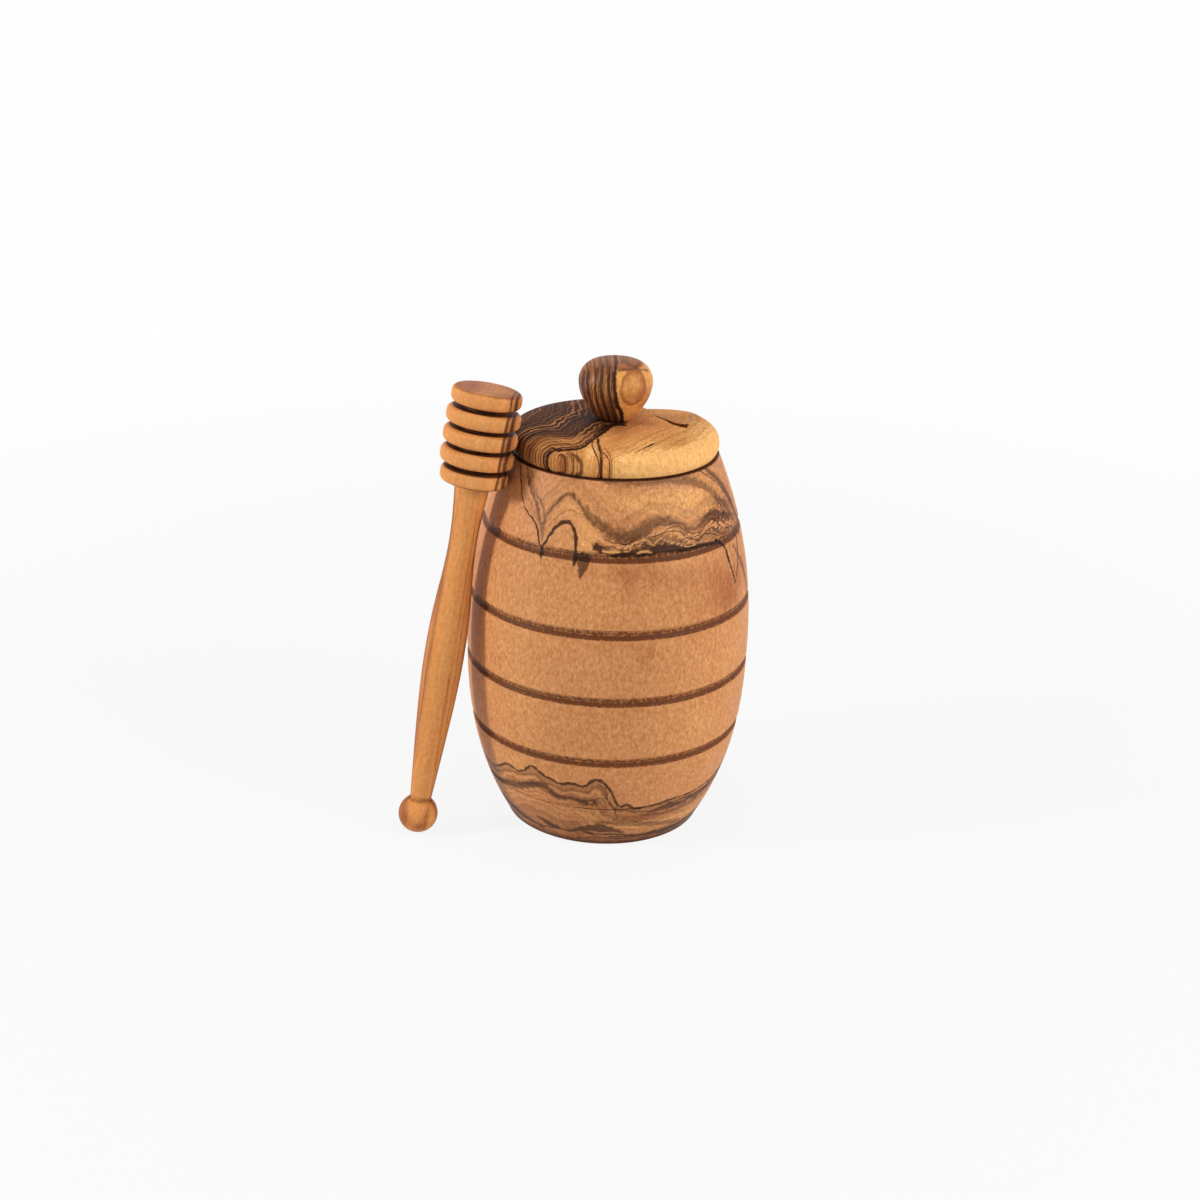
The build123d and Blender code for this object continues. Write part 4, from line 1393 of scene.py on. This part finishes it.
# Finish of a piece's wood. plain and golden name its colours, and along has the shares of the
# axes by which its grain is drawn out. Its growth rings bend and lie apart by millimetres. Bands,
# lines, rings and speckle have strengths, and roughness, shine and bump are the shader's.
Finish = namedtuple(
    "Finish", "plain golden along bend spacing bands lines rings speckle roughness shine bump")
FINISHES = {
    "pot": Finish(
        plain="plain", golden="golden", along=(1, 1, 0.12), bend=4.0, spacing=3.1, bands=0.7,
        lines=0.5, rings=0.06, speckle=1.0, roughness=0.5, shine=0.12, bump=0.4),
    "lid": Finish(
        plain="lid", golden="lid_golden", along=(1, 1, 0.12), bend=0.9, spacing=1.5, bands=0.9,
        lines=1.0, rings=0.52, speckle=0.75, roughness=0.55, shine=0.04, bump=0.35),
    "knob": Finish(
        plain="knob", golden="golden", along=(1, 0.15, 1), bend=1.0, spacing=1.0, bands=0.8,
        lines=0.8, rings=0.16, speckle=0.7, roughness=0.46, shine=0.15, bump=0.3),
    "dipper": Finish(
        plain="dipper", golden="golden", along=(1, 1, 0.06), bend=0.6, spacing=1.1, bands=0.25,
        lines=0.15, rings=0.24, speckle=0.45, roughness=0.48, shine=0.12, bump=0.35),
}
BUMP_HEIGHT = 0.06 * MM
TORN_FIBRE_GLINT = (0.74, 0.64, 0.54, 1)
TORN_SHARES = (1, 1, 1.6)


def field(tree, title):
    """Value of one of the piece's fields."""
    return place(tree, "Attribute", attribute_name=title).outputs["Fac"]


def pot_details(tree, space, surface, golden):
    """Colour of the pot's wood with the pale lines of its figure, and with pale flecks on the
    fibres that turning tore along the edges of its grooves, where they are lightly burnt. The
    flecks are painted highlights, glints kept to the left and the front."""
    surface = blended(tree, field(tree, "pale"), surface, golden)
    fibres = noise(tree, stretched(tree, space, TORN_SHARES), 1500, 4, 0.7)
    torn = product(
        tree, smooth(tree, fibres, 0.57, 0.7), field(tree, "torn"),
        smooth(tree, field(tree, "burn"), 0.03, 0.3), smooth(tree, field(tree, "burn"), 0.75, 0.4))
    return blended(tree, torn, surface, TORN_FIBRE_GLINT)


def wood_material(kind, standing=None):
    """Oiled olive wood for one piece, from its fields and the shared groups. Where the piece
    leans, standing is its place and turn, so that the grain runs along it."""
    finish = FINISHES[kind]
    colours = {name: (*getattr(settings().colours, name), 1) for name in (
        finish.plain, finish.golden, "russet", "brown", "dark", "burnt")}
    made = bpy.data.materials.new(kind + "_olive_wood")
    made.use_nodes = True
    tree = made.node_tree
    tree.nodes.clear()
    space = place(tree, "TexCoord").outputs["Object"]
    if standing is not None:
        inputs = {
            "Vector": space, "Location": standing.to_translation(),
            "Rotation": standing.to_euler()}
        space = place(tree, "Mapping", inputs, vector_type="TEXTURE").outputs[0]

    def grouped(name, defaults, wire, inputs):
        group = shared_group(name, defaults, wire)
        return place_group(tree, group, {"Vector": space, **inputs})

    drawn = {"Band": field(tree, "band"), "Band ink": field(tree, "band_ink")}
    for number_of_set in LINE_SETS:
        drawn[f"Line {number_of_set}"] = field(tree, f"line_{number_of_set}")
        drawn[f"Line ink {number_of_set}"] = field(tree, f"line_ink_{number_of_set}")
    figure = grouped("Drawn figure", FIGURE_INPUTS, draw_figure, drawn)
    rings = grouped("Growth rings", RINGS_INPUTS, draw_rings, {
        "Growth": field(tree, "growth"), "Bend": finish.bend, "Spacing": finish.spacing})
    grain = grouped("Turned grain", GRAIN_INPUTS, draw_grain, {"Along": finish.along})
    wood = place_group(tree, shared_group("Olive wood", OLIVE_INPUTS, draw_wood), {
        "Soot": product(tree, field(tree, "soot"), rings["Soot"]), "Dark": figure["Dark"],
        "Warmth": field(tree, "warm"), "Heart": field(tree, "heart"), "Burn": field(tree, "burn"),
        **{title: rings[title] for title in ("Bands", "Lines", "Faint")},
        **{title: grain[title] for title in ("Cloud", "Streaks", "Pores", "Speckle")},
        "Band strength": finish.bands, "Line strength": finish.lines,
        "Ring strength": finish.rings, "Speckle strength": finish.speckle,
        "Plain": colours[finish.plain], "Golden": colours[finish.golden],
        "Russet": colours["russet"], "Brown": colours["brown"],
        "Dark lines": colours["dark"], "Burnt": colours["burnt"]})
    surface = wood["Color"]
    if kind == "pot":
        surface = pot_details(tree, space, surface, colours[finish.golden])
    bump = place(tree, "Bump", {
        "Strength": finish.bump, "Distance": BUMP_HEIGHT, "Height": wood["Height"]})
    shader = place(tree, "BsdfPrincipled", {
        "Base Color": surface, "Roughness": finish.roughness, "Specular IOR Level": finish.shine,
        "Normal": bump.outputs[0]})
    place(tree, "OutputMaterial", {"Surface": shader.outputs[0]})
    arrange(tree)
    return made


def settings():
    """The honey pot's settings on the scene."""
    return bpy.context.scene.honey_pot


# Columns of vertices round each piece, and how far they crowd towards the front
COLUMNS = {"pot": (400, 0.4), "lid": (400, 0.35), "knob": (320, 0.3), "dipper": (180, 0)}


class MakePot(bpy.types.Operator):
    """Turn the barrel-shaped pot"""
    bl_idname = "honey_pot.make_pot"
    bl_label = "Make Pot"

    def execute(self, context):
        outline, row_burn = pot_rows(settings().pot)
        angles = angles_round(*COLUMNS["pot"])
        vertices, faces = turned_surface(outline, angles)
        burn = np.concatenate([row_burn[:1], np.repeat(row_burn[1:-1], len(angles)), row_burn[-1:]])
        piece = new_object("pot", vertices, faces)
        wood = wood_material("pot")
        fields = pot_fields(vertices, burn)
        finish_piece(piece, "pot_body", "pot", fields, wood)
        return {"FINISHED"}


class MakeLid(bpy.types.Operator):
    """Turn the lid and cut its slot"""
    bl_idname = "honey_pot.make_lid"
    bl_label = "Make Lid"

    def execute(self, context):
        lid = settings().lid
        vertices, faces = turned_surface(lid_rows(lid), angles_round(*COLUMNS["lid"]))
        piece = new_object("lid_turned", vertices, faces)
        cut_slot(piece, lid)
        fields = lid_fields(vertex_places(piece))
        finish_piece(piece, "lid", "lid", fields, wood_material("lid"))
        return {"FINISHED"}


class MakeKnob(bpy.types.Operator):
    """Turn the lid's knob"""
    bl_idname = "honey_pot.make_knob"
    bl_label = "Make Knob"

    def execute(self, context):
        rows = knob_rows(settings().knob)
        vertices, faces = turned_surface(rows, angles_round(*COLUMNS["knob"]))
        piece = new_object("knob_turned", vertices, faces)
        fields = knob_fields(vertices)
        finish_piece(piece, "knob", "lid", fields, wood_material("knob"))
        return {"FINISHED"}


class MakeDipper(bpy.types.Operator):
    """Turn the dipper and lean it on the pot"""
    bl_idname = "honey_pot.make_dipper"
    bl_label = "Make Dipper"

    def execute(self, context):
        dipper = settings().dipper
        upright, faces = turned_surface(dipper_rows(dipper), angles_round(*COLUMNS["dipper"]))
        standing = dipper_standing(dipper)
        turn = np.array(standing.to_3x3())
        where = np.array(standing.to_translation())
        piece = new_object("dipper_turned", upright @ turn.T + where, faces)
        wood = wood_material("dipper", standing)
        finish_piece(piece, "dipper", "dipper", dipper_fields(upright), wood)
        return {"FINISHED"}


# Place that the lamps and the camera face, and each lamp's size and place, in metres
VIEW_MIDDLE = (0, 0, 0.06)
LAMPS = {
    "left": (0.16, (-0.93, -0.27, 0.42)), "right": (0.5, (0.85, -0.42, 0.5)),
    "top": (0.5, (0, 0.1, 1.0))}
# By how much the camera is aimed to the left of that place and above it
AIM_LEFT = 2.42 * MM
AIM_UP = 3.13 * MM
SENSOR_WIDTH = 36
FLOOR_REACH = 8.0
FLOOR_DROP = 0.05 * MM
# Share of the floor's white in the view: beside the pot, and what it gains further out
NEAR_WHITE = 0.88
FAR_WHITE = 0.11
FADE_START = 0.1
FADE_END = 0.6


def area_lamp(name, power, size, where):
    """Square lamp of a size, aimed at the middle of the view."""
    data = bpy.data.lights.new(name, "AREA")
    data.energy = power
    data.size = size
    lamp = bpy.data.objects.new(name, data)
    bpy.context.scene.collection.objects.link(lamp)
    lamp.location = where
    lamp.rotation_euler = (Vector(VIEW_MIDDLE) - Vector(where)).to_track_quat("-Z", "Y").to_euler()


def backdrop_seen(tree, shader, share):
    """Shader with a share of plain white in the view of the camera, mirrors and glass."""
    path = place(tree, "LightPath").outputs
    seen = calc(tree, "MAXIMUM", path["Is Camera Ray"], path["Is Glossy Ray"])
    seen = calc(tree, "MAXIMUM", seen, path["Is Transmission Ray"])
    white = place(tree, "Emission", {"Color": (1, 1, 1, 1), "Strength": 1.0}).outputs[0]
    inputs = {0: product(tree, seen, share), 1: shader, 2: white}
    return place(tree, "MixShader", inputs).outputs[0]


def floor_paper(stage):
    """Pale paper of the floor, which fades to white in the view away from the pot."""
    paper = bpy.data.materials.new("pale_paper")
    paper.use_nodes = True
    tree = paper.node_tree
    tree.nodes.clear()
    pale = place(tree, "BsdfDiffuse", {"Color": (*stage.floor, 1)}).outputs[0]
    space = place(tree, "TexCoord").outputs["Object"]
    away = place(tree, "VectorMath", {0: space}, operation="LENGTH").outputs["Value"]
    gained = smooth(tree, away, FADE_START, FADE_END, FAR_WHITE)
    share = calc(tree, "ADD", gained, NEAR_WHITE)
    place(tree, "OutputMaterial", {"Surface": backdrop_seen(tree, pale, share)})
    arrange(tree)
    return paper


def studio_world(stage):
    """Even light from all round, seen as white."""
    world = bpy.data.worlds.new("studio")
    world.use_nodes = True
    tree = world.node_tree
    tree.nodes.clear()
    surround = place(tree, "Background", {"Strength": stage.surround}).outputs[0]
    place(tree, "OutputWorld", {"Surface": backdrop_seen(tree, surround, 1.0)})
    arrange(tree)
    return world


def placed_camera(stage):
    """Camera at its distance from the middle of the view, aimed a little beside it and rolled."""
    data = bpy.data.cameras.new("camera")
    data.lens = stage.lens
    data.sensor_width = SENSOR_WIDTH
    camera = bpy.data.objects.new("camera", data)
    bpy.context.scene.collection.objects.link(camera)
    rise, reach = math.sin(stage.elevation), math.cos(stage.elevation)
    middle = Vector(VIEW_MIDDLE)
    eye = Vector((0, -reach, rise)) * stage.distance + middle
    aim = middle + Vector((-AIM_LEFT, AIM_UP * rise, AIM_UP * reach))
    forward = (aim - eye).normalized()
    right = forward.cross((0, 0, 1)).normalized()
    upward = right.cross(forward)
    turned_right = right * math.cos(stage.roll) + upward * math.sin(stage.roll)
    turned_up = upward * math.cos(stage.roll) - right * math.sin(stage.roll)
    axes = Matrix((turned_right, turned_up, -forward)).transposed().to_4x4()
    camera.matrix_world = Matrix.Translation(eye) @ axes
    return camera


class MakeStage(bpy.types.Operator):
    """Set up the floor, the lamps and the camera"""
    bl_idname = "honey_pot.make_stage"
    bl_label = "Make Stage"

    def execute(self, context):
        stage = settings().stage
        scene = context.scene
        sides = ((-1, -1), (1, -1), (1, 1), (-1, 1))
        corners = [(x * FLOOR_REACH, y * FLOOR_REACH, -FLOOR_DROP) for x, y in sides]
        floor = new_object("floor", np.array(corners), [(0, 1, 2, 3)])
        floor.data.materials.append(floor_paper(stage))
        scene.world = studio_world(stage)
        for name, (size, where) in LAMPS.items():
            area_lamp(name, getattr(stage, name), size, where)
        scene.camera = placed_camera(stage)
        scene.view_settings.view_transform = "Standard"
        return {"FINISHED"}


OPERATORS = (MakePot, MakeLid, MakeKnob, MakeDipper, MakeStage)


class HoneyPotPanel(bpy.types.Panel):
    """Panel with a button for each piece and the stage"""
    bl_idname = "VIEW3D_PT_honey_pot"
    bl_label = "Honey Pot"
    bl_space_type = "VIEW_3D"
    bl_region_type = "UI"
    bl_category = "Honey Pot"

    def draw(self, context):
        for operator in OPERATORS:
            self.layout.operator(operator.bl_idname)


CLASSES = (
    PotSizes, LidSizes, KnobSizes, DipperSizes, WoodColours, StageSettings, HoneyPotSettings,
    *OPERATORS, HoneyPotPanel)


def register():
    """Adds the settings, operators and panel to Blender."""
    for made in CLASSES:
        bpy.utils.register_class(made)
    bpy.types.Scene.honey_pot = PointerProperty(type=HoneyPotSettings)


def unregister():
    """Takes them out again."""
    del bpy.types.Scene.honey_pot
    for made in reversed(CLASSES):
        bpy.utils.unregister_class(made)


def main():
    """Makes every piece and the stage."""
    register()
    bpy.ops.honey_pot.make_pot()
    bpy.ops.honey_pot.make_lid()
    bpy.ops.honey_pot.make_knob()
    bpy.ops.honey_pot.make_dipper()
    bpy.ops.honey_pot.make_stage()


if __name__ == "__main__":
    main()
